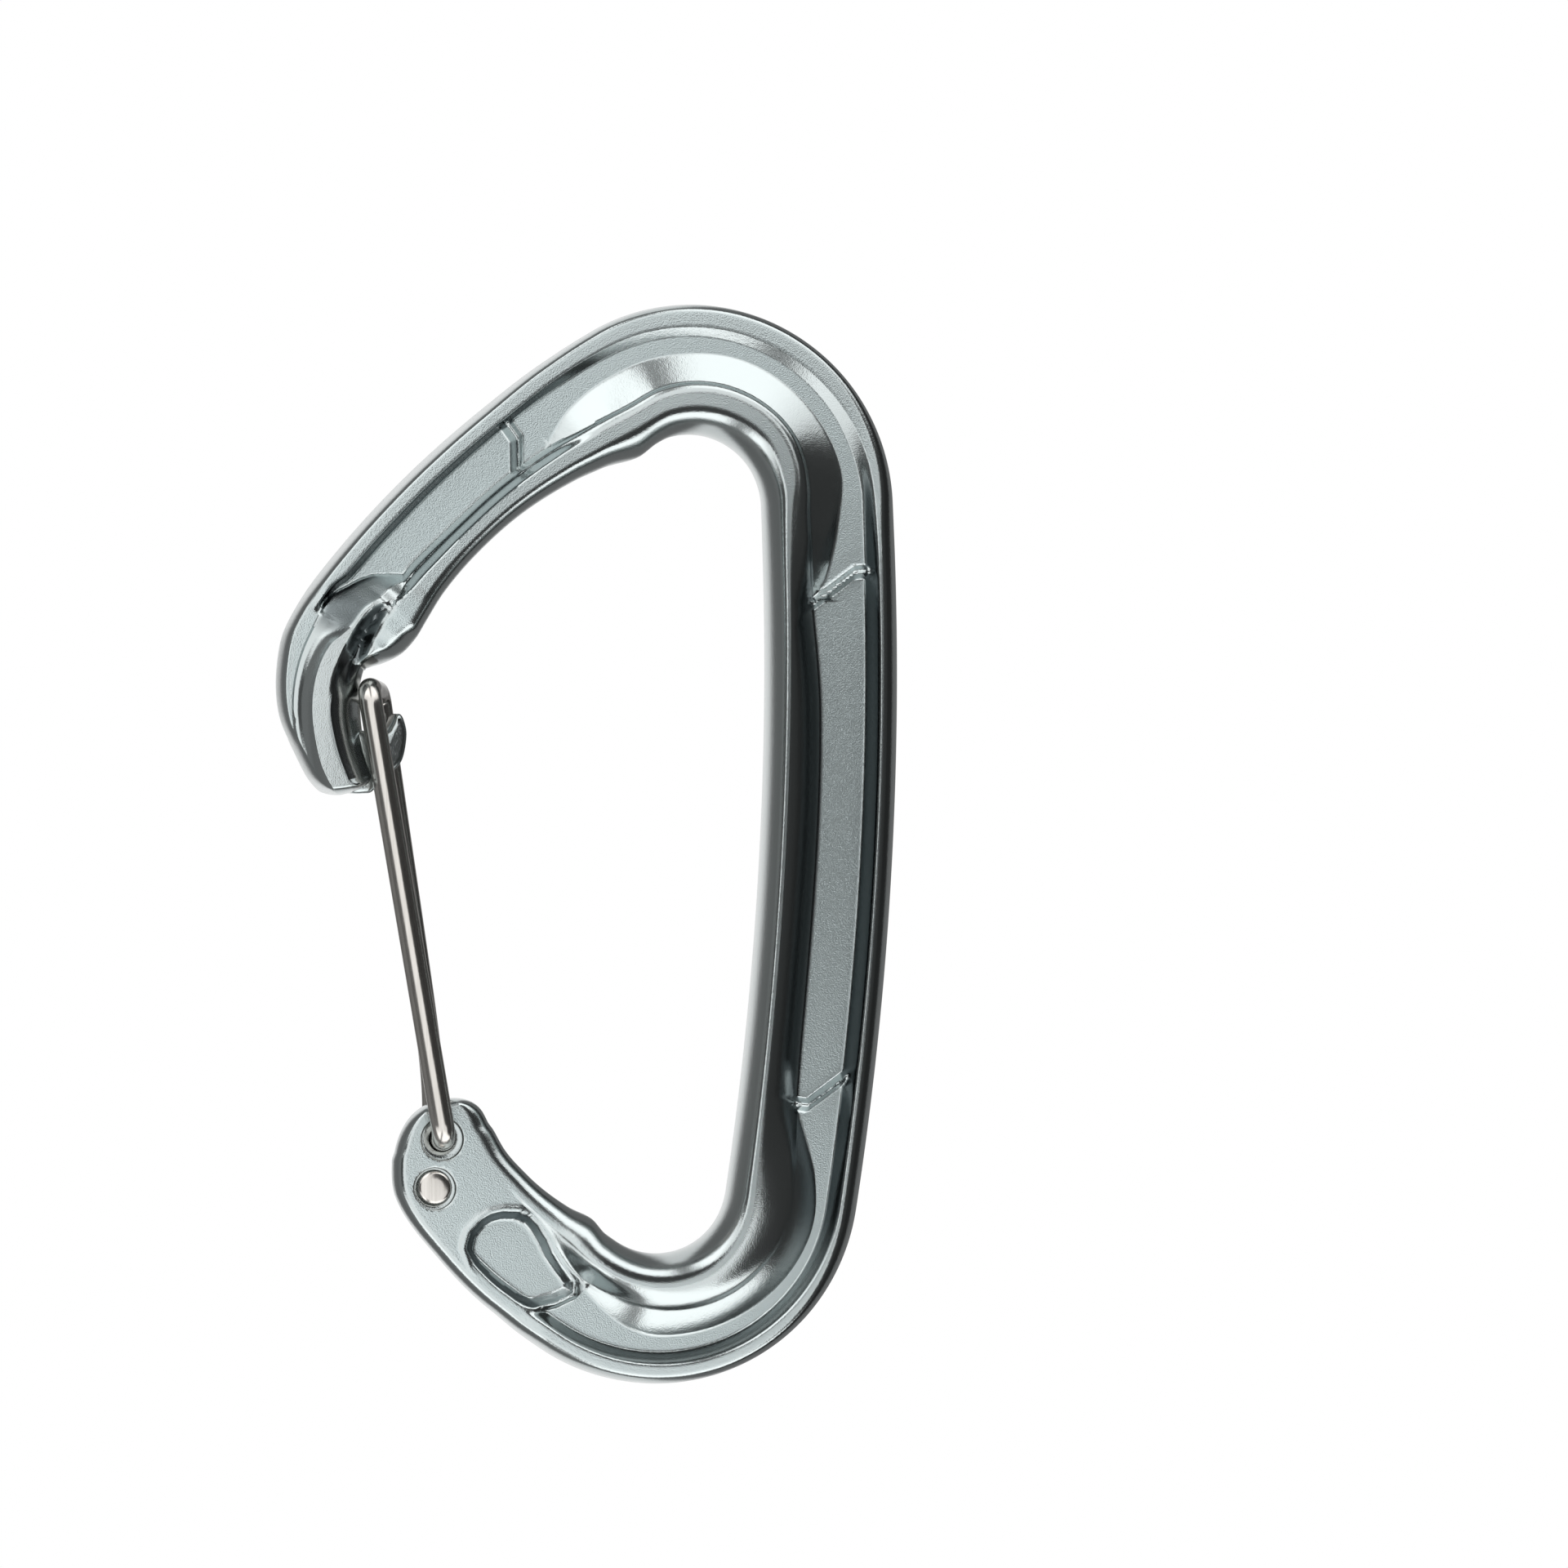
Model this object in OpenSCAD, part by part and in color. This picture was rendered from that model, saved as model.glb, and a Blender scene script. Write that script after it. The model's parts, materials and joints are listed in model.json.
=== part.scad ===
// Wire-gate carabiner: a hot-forged light-alloy body with an I-beam section, and a gate
// bent from one piece of round stainless wire. The body lies flat, its parting plane at z = 0.
// +Y runs along the body towards the nose end, +X towards the spine, and the gate is at -X.
// The body's bar follows a path of tangent arcs, from the tip of the hinge lug, round the
// lower basket, up the spine, round the upper basket and out to the tip of the nose.
// A place on the bar is written as a station, [stretch number + share of that stretch],
// and an offset from the path, which is positive towards the eye of the carabiner.

/* [Bar path] */
// Length of the round tip of the hinge lug
tip_length = 4; // [3.5:0.1:4.5]
// Length of the hinge lug
lug_length = 12.5; // [11.5:0.5:13.5]
// Turn of the hinge lug
lug_turn = 38; // [36:0.5:40]
// Length of the short lower arm
lower_arm_length = 5.5; // [5:0.5:7]
// Turn of the lower arm
lower_arm_turn = 2; // [0:0.5:4]
// Radius of the lower basket, at the middle of the bar
lower_basket_radius = 12.2; // [11.8:0.1:13]
// Turn of the lower basket
lower_basket_turn = 115; // [113:0.5:117]
// Length of the spine
spine_length = 61.5; // [58:0.5:66]
// Turn of the slightly bowed spine
spine_turn = 12; // [10:0.5:13]
// Radius of the upper basket, at the middle of the bar
upper_basket_radius = 12.3; // [11.8:0.1:13]
// Turn of the upper basket
upper_basket_turn = 114; // [112:0.5:116]
// Length of the upper arm
upper_arm_length = 29.5; // [28.5:0.5:31]
// Turn of the upper arm
upper_arm_turn = 23; // [21:0.5:25]
// Length of the shoulder above the gate notch
shoulder_length = 6; // [5.5:0.5:6.5]
// Turn of the shoulder
shoulder_turn = 11; // [10:0.5:13]
// Length of the nose
nose_length = 13.5; // [12.5:0.5:14.5]
// Turn of the nose
nose_turn = 66; // [62:0.5:70]

/* [Bar section] */
// Width of the bar in the spine and the baskets
bar_width = 11.5; // [10.5:0.1:12.5]
// Width of the bar in the upper arm
arm_width = 9.4; // [8.8:0.1:10]
// Width of the hinge lug
lug_width = 10.4; // [10:0.1:11]
// Width of the nose
nose_width = 6.9; // [6.4:0.1:7.3]
// Height of the small rope stop on the inner edge beside each basket
stop_height = 0.35; // [0:0.05:0.5]
// Full thickness of the rope-bearing bead
bead_thickness = 9.6; // [9.2:0.1:10]
// Width of the bead where the rope or bolt hanger sits
basket_bead_width = 4.8; // [4.4:0.1:5.2]
// Width of the bead along the spine
spine_bead_width = 4.1; // [3.8:0.1:4.4]
// Width of the bead along the upper arm
arm_bead_width = 3.3; // [3:0.1:3.6]
// Full thickness of the outer flange
flange_thickness = 6.8; // [6:0.1:7.6]
// Width of the flat land on the outer flange, with its rounded edge
flange_width = 1.6; // [1.4:0.1:1.8]
// Radius of the rounded outer edge, measured in the plane of the body
edge_radius = 0.95; // [0.7:0.05:1.1]
// Width of the sloping walls from the flange and the bead down to the web
wall_run = 1.2; // [0.9:0.1:1.3]
// Full thickness of the web between the flange and the bead
web_thickness = 3.6; // [3.2:0.1:4]
// Full thickness of the web in the two long lightening pockets
pocket_thickness = 2.8; // [2.4:0.1:3]
// Reach of the smooth scoops beside the baskets, past the path of the bar
scoop_reach = 1.8; // [1.5:0.1:2]
// Width of the low cross ribs that end the pockets
rib_width = 1.1; // [0.9:0.1:1.4]
// Height of the cross ribs above the web
rib_rise = 0.5; // [0.3:0.05:0.7]

/* [Hinge lug] */
// Thickness of the flat hinge lug
lug_thickness = 4.4; // [4:0.1:4.5]
// Thickness of the web in the rounded recess next to the lug
recess_thickness = 2.6; // [2:0.1:3]
// Distance from the front pivot hole to the rear pivot hole
pivot_pitch = 4.4; // [4.2:0.1:4.7]
// Direction of the rear pivot hole, seen from the front one
pivot_direction = -98.7; // [-101:0.1:-96]
// Running clearance on the radius, round the wire in the front pivot hole
pivot_clearance = 0.08; // [0.05:0.01:0.1]
// Clearance on the radius round the wire's rear end, which also takes up the wire's flex
flex_clearance = 0.34; // [0.32:0.01:0.36]
// Depth of the counterbores on both faces of the lug
counterbore_depth = 0.5; // [0.3:0.05:0.8]

/* [Nose] */
// Width of the raised finger on each face of the nose
finger_width = 3.9; // [3.6:0.1:4.2]
// Thickness of the hook that reaches between the legs of the gate
hook_thickness = 3.7; // [3.3:0.1:4]
// Reach of the hook past the crossbar of the gate
hook_reach = 2.9; // [2.7:0.1:3.2]
// Drop from the middle of the crossbar to the tip of the hook
hook_drop = 2.2; // [2:0.1:2.5]
// Depth of the seat behind the tip of the hook
hook_seat = 1.7; // [1.4:0.1:2]

/* [Gate] */
// Diameter of the gate wire
wire_diameter = 2.05; // [1.9:0.05:2.2]
// Distance between the middles of the two legs
leg_spacing = 7.1; // [6.9:0.1:7.4]
// Gap between the closed crossbar and the nose
closing_gap = 0.12; // [0.08:0.01:0.2]
// Bend radius at the middle of the wire, at both ends of each leg
bend_radius = 1.4; // [1.25:0.05:1.6]
// Diameter of the peened head on each end of the wire
head_diameter = 2.95; // [2.7:0.05:3.1]
// Height of the peened heads
head_height = 0.7; // [0.6:0.05:0.9]
// Gap in the middle of the crossbar, where the wire's two halves turn on each other
crossbar_gap = 0.1; // [0.06:0.01:0.2]

/* [Hidden] */
$fn = 48;

// ---- the path of the bar

function arc_length(radius, turn) = radius * turn * PI / 180;

STRETCH = [
    [tip_length, 0],
    [lug_length, lug_turn],
    [lower_arm_length, lower_arm_turn],
    [arc_length(lower_basket_radius, lower_basket_turn), lower_basket_turn],
    [spine_length, spine_turn],
    [arc_length(upper_basket_radius, upper_basket_turn), upper_basket_turn],
    [upper_arm_length, upper_arm_turn],
    [shoulder_length, shoulder_turn],
    [nose_length, nose_turn],
];
LAST = len(STRETCH) - 1;
START_HEADING = -74;

// End [x, y, heading] of an arc of a given length and turn that leaves a place
function go(from, length, turn) =
    let (chord = turn == 0 ? length : 2 * length * sin(turn / 2) / (turn * PI / 180),
         along = from[2] + turn / 2)
    [from[0] + chord * cos(along), from[1] + chord * sin(along), from[2] + turn];

function knot(i) = i == 0 ? [0, 0, START_HEADING] : go(knot(i - 1), STRETCH[i - 1][0], STRETCH[i - 1][1]);
KNOTS = [for (i = [0 : LAST + 1]) knot(i)];

function on_path(q) =
    let (i = min(floor(q), LAST), share = q - i)
    go(KNOTS[i], STRETCH[i][0] * share, STRETCH[i][1] * share);

// Point at an offset from the path, before the whole is centred
function raw_place(q, offset) =
    let (p = on_path(q)) [p[0] - offset * sin(p[2]), p[1] + offset * cos(p[2])];

// ---- smooth curves through a few knots

function slope(t, i) =
    let (a = max(i - 1, 0), b = min(i + 1, len(t) - 1)) (t[b][1] - t[a][1]) / (t[b][0] - t[a][0]);

function find(t, q, i = 0) = (i >= len(t) - 2 || q < t[i + 1][0]) ? i : find(t, q, i + 1);

// Cubic curve through the [station, value] knots of a table
function curve(t, q) =
    let (i = find(t, q), w = t[i + 1][0] - t[i][0],
         u = min(max((q - t[i][0]) / w, 0), 1), v = 1 - u)
    v * v * (1 + 2 * u) * t[i][1] + u * u * (1 + 2 * v) * t[i + 1][1]
    + u * v * w * (v * slope(t, i) - u * slope(t, i + 1));

// Rise from 0 to 1 as x passes from a to b
function ramp(x, a, b) = let (u = min(max((x - a) / (b - a), 0), 1)) u * u * (3 - 2 * u);

// Level that eases from each [station, value] knot of a table to the next, with no overshoot
function level(t, q) =
    let (i = find(t, q)) t[i][1] + (t[i + 1][1] - t[i][1]) * ramp(q, t[i][0], t[i + 1][0]);

// Quarter-ellipse rise from 0 to 1 over a run
function rounded(x, run) = let (u = 1 - min(max(x / run, 0), 1)) sqrt(max(1 - u * u, 0));

// ---- edges of the bar, as offsets from the path

half_bar = bar_width / 2;
half_arm = arm_width / 2;
half_lug = lug_width / 2;
lug_bulge = 0.9;
shoulder_swell = 1.2;

OUTER = [
    [0, half_lug - 1], [0.4, half_lug - 0.85], [0.8, half_lug - 0.4], [1, half_lug + 0.1],
    [1.2, half_lug + lug_bulge], [1.6, half_lug + 0.4], [2, half_bar - 0.05], [2.6, half_bar + 0.15],
    [3.3, half_bar + 0.1], [4.5, half_bar + 0.05], [5.4, half_bar + 0.1], [5.9, half_bar + 0.1],
    [6.2, half_arm + 0.7], [6.4, half_arm + 0.25], [6.7, half_arm - 0.1], [7, half_arm - 0.3],
    [8, nose_width / 2 + 0.9], [8.2, nose_width / 2 + 0.3], [8.45, nose_width / 2 - 0.5],
    [8.7, nose_width / 2 - 1.45], [9, nose_width / 2 - 2],
];
INNER = [
    [0, half_lug - 0.8], [0.35, half_lug - 1.2], [0.75, half_lug - 1.45], [1, half_lug - 1.15],
    [1.2, half_lug - 0.8], [1.5, half_lug - 0.15], [2, half_bar - 0.1], [3, half_bar - 0.15],
    [4.5, half_bar], [5.4, half_bar - 0.1], [5.9, half_bar - 0.2], [6.05, half_bar - 0.1],
    [6.2, half_arm + 0.5], [6.3, half_arm + 0.1], [6.5, half_arm - 0.2], [6.7, half_arm - 0.05],
    [6.85, half_arm + 0.35], [7, half_arm + shoulder_swell], [7.2, half_arm + shoulder_swell],
    [7.6, half_arm + 0.6], [8, half_arm - 0.75],
];
// The wall of the nose that the closed crossbar lies against
NOSE_WALL = [
    [8, nose_width / 2 - 0.4], [8.15, nose_width / 2 - 0.05], [8.35, nose_width / 2 + 0.35],
    [8.6, nose_width / 2 + 0.25], [8.8, nose_width / 2 - 0.35], [9, nose_width / 2 - 1.2],
];
NOTCH = 8.02;

function stops(q) =
    stop_height * (ramp(q, 2, 2.45) - ramp(q, 2.45, 2.8) + ramp(q, 6, 6.08) - ramp(q, 6.08, 6.2));

tip_run = 3.5;
nose_run = 2;
function from_tip(q) = q * tip_length;
function from_nose(q) = (LAST + 1 - q) * nose_length;
function closing(q) =
    (q < 1 ? rounded(from_tip(q), tip_run) : 1) * (q > LAST ? rounded(from_nose(q), nose_run) : 1);

function outer(q) = curve(OUTER, q) * closing(q);
function inner(q) = (q < NOTCH ? curve(INNER, q) + stops(q) : curve(NOSE_WALL, q)) * closing(q);

// ---- heights of the upper face above the parting plane

half_bead = bead_thickness / 2;
half_flange = flange_thickness / 2;
half_web = web_thickness / 2;
half_pocket = pocket_thickness / 2;
half_lug_t = lug_thickness / 2;
half_recess = recess_thickness / 2;

FLANGE_TOP = [
    [0, half_lug_t], [1.6, half_lug_t], [3, half_flange], [8.4, half_flange], [9, half_flange - 0.6],
];
BEAD_TOP = [[0, half_lug_t], [1.5, half_lug_t], [3, half_bead], [7.5, half_bead], [8, half_bead - 0.6]];
BEAD_WIDTH = [
    [0, 2.2], [1.8, 2.3], [2, 3.1], [2.6, basket_bead_width - 0.2], [3.2, basket_bead_width],
    [3.9, basket_bead_width + 0.2], [4.2, spine_bead_width], [4.85, spine_bead_width],
    [5.2, basket_bead_width], [5.7, basket_bead_width - 0.4], [6.1, arm_bead_width], [7, arm_bead_width],
];
CREST = [[0, edge_radius], [1.5, edge_radius], [3, 2.8], [5.9, 2.8], [6.3, 2.2], [7.4, 2.2], [8, 1.2]];
// The flange's land and the bead leave room between them for the recess beside the lug
LAND = [[0, flange_width + 1], [2.6, flange_width + 0.8], [3, flange_width], [9, flange_width]];
recess_start = 1.56;
recess_length = 9.8;
recess_wall = 1;
recess_roundness = 0.15;

function flange_top(q) = level(FLANGE_TOP, q);
function bead_top(q) = level(BEAD_TOP, q);
function bead_width(q) = level(BEAD_WIDTH, q);
function crest(q) = level(CREST, q);
function land(q) = level(LAND, q);

// Distance along the bar from the rounded end of the recess
function into_recess(q) =
    let (lug_part = (min(q, 2) - recess_start) * lug_length) lug_part + max(q - 2, 0) * lower_arm_length;

// 1 on the floor of the recess, falling to 0 outside its two ends
function recess(q, n) =
    let (d = into_recess(q), start = recess_roundness * (n + 0.3) * (n + 0.3))
    ramp(d, start, start + recess_wall) * (1 - ramp(d, recess_length - recess_wall, recess_length));

// Ribs cross the web at [station, share of a station per millimetre, bend, side, length]:
// each runs straight across up to the offset of its bend, then leans along the bar
UPPER_ARM_RIB = [6.37, 0.012, -1, 1, upper_arm_length];
UPPER_SPINE_RIB = [4.893, -0.0095, -2.2, 1, spine_length];
LOWER_SPINE_RIB = [4.139, 0.0145, -0.6, -1, spine_length];
RIBS = [UPPER_ARM_RIB, UPPER_SPINE_RIB, LOWER_SPINE_RIB];
rib_reach = 0.09;

function lean(rib, n) = rib[1] * max(rib[3] * (n - rib[2]), 0);
// Distance along the bar from the middle of a rib
function past_rib(rib, q, n) = (q - rib[0] - lean(rib, n)) * rib[4];
function ribs(q, n) =
    max([for (rib = RIBS) 1 - ramp(abs(past_rib(rib, q, n)), rib_width / 4, rib_width / 2)]);
// Stations beside a rib lean with it, and those further away stand straight across
function leaning(q, n) =
    q + sum_of([for (rib = RIBS)
        lean(rib, n) * (1 - ramp(abs(q - rib[0]), 0.015, rib_reach * spine_length / rib[4]))]);
function sum_of(list, i = 0) = i == len(list) ? 0 : list[i] + sum_of(list, i + 1);

// 1 in the two long pockets, between their ribs
function pocketed(q, n) =
    ramp(past_rib(UPPER_ARM_RIB, q, n), 0, rib_width / 2) * (1 - ramp(q, 6.97, 7.02))
    + ramp(past_rib(LOWER_SPINE_RIB, q, n), 0, rib_width / 2)
      * ramp(-past_rib(UPPER_SPINE_RIB, q, n), 0, rib_width / 2);

// 1 along the smooth scoops beside the two baskets, falling to 0 at their pointed ends
function scooped(q) =
    ramp(q, 2.9, 2.95) * (1 - ramp(q, 4.03, 4.13)) + ramp(q, 4.88, 4.97) * (1 - ramp(q, 6.03, 6.24));

function floor_level(q, n) =
    let (web = half_web + (half_pocket - half_web) * pocketed(q, n) + rib_rise * ribs(q, n),
         plain = half_lug_t + (flange_top(q) - half_lug_t) * 0.5)
    web + (plain + (half_recess - plain) * recess(q, n) - web) * (1 - ramp(q, 2.86, 2.96));

// Raised finger that runs down the nose and rises out of the pocket of the upper arm
FINGER_MIDDLE = [[6.85, 0.3], [7.2, 0.3], [7.6, 0.1], [8, 0.6], [8.3, 1.2], [8.6, 1.3], [9, 0.6]];
function finger(q, n) =
    let (away = abs(n - curve(FINGER_MIDDLE, q)))
    (1 - ramp(away, finger_width / 2 - 1.5, finger_width / 2 + 0.3)) * ramp(q, 6.87, 7.08);

function height(q, n) =
    let (o = outer(q) + n, i = inner(q) - n, bottom = floor_level(q, n),
         flange = bottom + (flange_top(q) - bottom) * (1 - ramp(o, land(q), land(q) + wall_run)),
         shoulder = bead_top(q) - 0.35 * ramp(i, crest(q), bead_width(q)) * ramp(q, 2, 3),
         has_bead = 1 - ramp(q, 7.6, 8.1),
         bead = bottom + (shoulder - bottom) * has_bead
             * (1 - ramp(i, bead_width(q), bead_width(q) + wall_run)),
         crease = inner(q) - bead_width(q),
         run = max(crease + scoop_reach, 0.1),
         scoop = bottom + (half_bead - 0.5 - bottom) * scooped(q)
             * min(max((n + scoop_reach) / run, 0), 1) * (n < crease ? 1 : 0),
         ledge = q > 7 ? bottom + (flange_top(q) - bottom) * ramp(q, 7.9, 8.1) : bottom,
         finger_top = ledge + (half_bead - ledge) * (q > 6.8 ? finger(q, n) : 0))
    max(flange, bead, scoop, finger_top, ledge)
    * rounded(o, edge_radius) * rounded(i, q < NOTCH ? crest(q) : edge_radius)
    * (q < 1 ? rounded(from_tip(q), edge_radius) : 1) * (q > LAST ? rounded(from_nose(q), edge_radius) : 1);

// ---- the body's rings, from the tip of the lug to the tip of the nose

function edge_o(q) = [0, 0.05, 0.3, edge_radius, land(q), land(q) + wall_run * 0.5, land(q) + wall_run];
function edge_i(q) = [bead_width(q) + wall_run, bead_width(q) + wall_run * 0.4, bead_width(q),
    crest(q), crest(q) * 0.6, crest(q) * 0.25, crest(q) * 0.05, 0];
WEB_STEPS = 3;

// Offsets at which one ring has points, from its outer to its inner edge
function ring_offsets(q) =
    let (o = outer(q), i = inner(q), outside = edge_o(q), inside = edge_i(q),
         flanks = outside[len(outside) - 1] + inside[0],
         k = min(1, 0.9 * (o + i) / flanks),
         first = -o + k * outside[len(outside) - 1], last = i - k * inside[0])
    concat([for (e = outside) -o + k * e],
           [for (j = [1 : WEB_STEPS]) first + (last - first) * j / (WEB_STEPS + 1)],
           [for (e = inside) i - k * e]);

function span(a, b, steps) = [for (j = [0 : steps - 1]) a + (b - a) * j / steps];
function rib_stations(rib) =
    [for (d = [-0.9, -0.5, -0.25, 0.25, 0.5, 0.9]) rib[0] + d * rib_width / rib[4]];
STATIONS = concat(
    [0.004, 0.03, 0.1, 0.22, 0.4, 0.65], span(1, 1.56, 4), span(1.56, 1.76, 5), span(1.76, 2.6, 5),
    span(2.6, 2.96, 7), span(2.96, 4, 11), span(4, 4.12, 4), rib_stations(LOWER_SPINE_RIB),
    span(4.17, 4.86, 9), rib_stations(UPPER_SPINE_RIB), span(4.925, 5, 2), span(5, 6, 11),
    span(6, 6.33, 7), rib_stations(UPPER_ARM_RIB), span(6.42, 6.85, 5), span(6.85, 7.1, 6),
    span(7.1, 8, 7), [8, 8.018, 8.022], span(8.08, 8.8, 7), [8.8, 8.9, 8.96, 8.99, 8.998]);

// Point k of a ring, on the upper face
function ring_point(q, offsets, k) =
    let (at = leaning(q, offsets[k]), n = at == q ? offsets[k] : ring_offsets(at)[k], p = raw_place(at, n))
    [p[0], p[1], (k == 0 || k == len(offsets) - 1) ? 0 : height(at, n)];

function ring(q) =
    let (offsets = ring_offsets(q), upper = [for (k = [0 : len(offsets) - 1]) ring_point(q, offsets, k)])
    concat(upper, [for (k = [len(upper) - 2 : -1 : 1]) [upper[k][0], upper[k][1], -upper[k][2]]]);

RINGS = [for (q = STATIONS) ring(q)];
AROUND = len(RINGS[0]);

// The whole is centred on the box round the body
xs = [for (r = RINGS) for (p = r) p[0]];
ys = [for (r = RINGS) for (p = r) p[1]];
CENTRE = [(min(xs) + max(xs)) / 2, (min(ys) + max(ys)) / 2];
function place(q, n) = raw_place(q, n) - CENTRE;

// ---- places that the body and the gate share

wire_radius = wire_diameter / 2;
leg_z = leg_spacing / 2;
cross_station = 8.16;
CROSSBAR = place(cross_station, inner(cross_station) + closing_gap + wire_radius);
front_pivot_station = 0.81;
front_pivot_offset = -0.86;
PIVOT_A = place(front_pivot_station, front_pivot_offset);
PIVOT_B = PIVOT_A + pivot_pitch * [cos(pivot_direction), sin(pivot_direction)];
front_leg = norm(PIVOT_A - CROSSBAR);
full_swing = 48;
// The rear leg is cut to the middle of the lengths that it would need over the whole swing
function turned(angle) =
    PIVOT_A + [[cos(angle), sin(angle)], [-sin(angle), cos(angle)]] * (CROSSBAR - PIVOT_A);
function reach(angle) = norm(PIVOT_B - turned(angle));
rear_leg = (max(reach(0), reach(full_swing / 2)) + reach(full_swing)) / 2;
function heading(from, to) = atan2(to[1] - from[1], to[0] - from[0]);
counterbore_radius = head_diameter / 2 + flex_clearance;

// ---- body

module bar() {
    count = len(RINGS);
    points = [for (r = RINGS) for (p = r) [p[0] - CENTRE[0], p[1] - CENTRE[1], p[2]]];
    function at(i, k) = i * AROUND + k % AROUND;
    sides = [for (i = [0 : count - 2]) for (k = [0 : AROUND - 1])
        each [[at(i, k), at(i, k + 1), at(i + 1, k + 1)], [at(i, k), at(i + 1, k + 1), at(i + 1, k)]]];
    start = [for (k = [AROUND - 1 : -1 : 0]) at(0, k)];
    end = [for (k = [0 : AROUND - 1]) at(count - 1, k)];
    polyhedron(points, concat(sides, [start, end]), convexity = 10);
}

// Hook of the nose: it reaches between the legs and stops the crossbar from being pulled out
module hook() {
    seat = hook_drop + hook_seat;
    translate([CROSSBAR[0], CROSSBAR[1], -hook_thickness / 2])
        linear_extrude(hook_thickness)
            polygon([
                [-3, -seat], [hook_reach - 2.2, -seat], [hook_reach - 1.4, -seat + 0.6],
                [hook_reach - 1, -hook_drop - 0.2], [hook_reach - 0.75, -hook_drop],
                [hook_reach - 0.4, -hook_drop - 0.1], [hook_reach - 0.1, -hook_drop - 0.7],
                [hook_reach + 0.1, -hook_drop - 1.8], [hook_reach - 0.1, -hook_drop - 3.4],
                [hook_reach - 0.5, -hook_drop - 4.4], [hook_reach - 1.4, -hook_drop - 5.3],
                [0.3, -hook_drop - 6.5], [-0.6, -hook_drop - 7], [-3, -hook_drop - 6.2],
            ]);
}

module pivot_hole(centre, bore_radius) {
    translate([centre[0], centre[1], -lug_thickness])
        cylinder(r = bore_radius, h = 2 * lug_thickness);
    for (side = [-1, 1])
        translate([centre[0], centre[1], side * (half_lug_t - counterbore_depth + lug_thickness / 2)])
            cylinder(r = counterbore_radius, h = lug_thickness, center = true);
}

module body() {
    color([0.62, 0.67, 0.67])
        difference() {
            union() {
                bar();
                hook();
            }
            pivot_hole(PIVOT_A, wire_radius + pivot_clearance);
            pivot_hole(PIVOT_B, wire_radius + flex_clearance);
        }
}

// ---- gate

// Half of the gate wire, in its own frame: the crossbar lies on z, the leg runs along -y at
// z = leg_z, and the end turns down through the lug to its peened head
module half_wire(leg) {
    r = wire_radius;
    stub_end = -(half_lug_t - counterbore_depth + 0.05);
    translate([0, 0, crossbar_gap / 2])
        cylinder(r = r, h = leg_z - bend_radius - crossbar_gap / 2);
    translate([0, -bend_radius, leg_z - bend_radius]) rotate([90, 0, 90])
        rotate_extrude(angle = 90) translate([bend_radius, 0]) circle(r = r);
    translate([0, -bend_radius, leg_z]) rotate([90, 0, 0])
        cylinder(r = r, h = leg - 2 * bend_radius);
    translate([0, -leg + bend_radius, leg_z - bend_radius]) rotate([90, 0, 90]) rotate([0, 0, 90])
        rotate_extrude(angle = 90) translate([bend_radius, 0]) circle(r = r);
    translate([0, -leg, stub_end])
        cylinder(r = r, h = leg_z - bend_radius - stub_end);
    translate([0, -leg, stub_end - head_height])
        cylinder(r1 = head_diameter / 2 - 0.25, r2 = head_diameter / 2, h = 0.25);
    translate([0, -leg, stub_end - head_height + 0.25])
        cylinder(r = head_diameter / 2, h = head_height - 0.25);
}

module gate_wire_front() {
    color([0.72, 0.70, 0.67])
        translate([CROSSBAR[0], CROSSBAR[1], 0])
            rotate(heading(CROSSBAR, PIVOT_A) + 90)
                half_wire(front_leg);
}

module gate_wire_rear() {
    color([0.72, 0.70, 0.67])
        translate([CROSSBAR[0], CROSSBAR[1], 0])
            rotate(heading(CROSSBAR, PIVOT_B) + 90)
                mirror([0, 0, 1]) half_wire(rear_leg);
}

body();
gate_wire_front();
gate_wire_rear();
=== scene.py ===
"""Visual model of a wire-gate carabiner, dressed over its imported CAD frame.

The forged body is swept again at a fine grid along the path of tangent arcs that the CAD body
follows, with the forging's small forms: crowned flanges, filleted ribs and pockets, the finger on
the nose, the seat of the hook. The gate's bent wire is two halves that turn on each other in the
middle of the crossbar.

A place on the body is a station q and an offset n. The station counts the stretches of the path from
the hinge lug's tip, with the share of the stretch it is in, and the offset is the distance from the
path towards the eye of the carabiner. Lengths in the sections below are in millimetres and become
metres in make_mesh().
"""
import json
import math
from collections import namedtuple

import bpy
import numpy as np
from mathutils import Matrix, Vector


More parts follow.
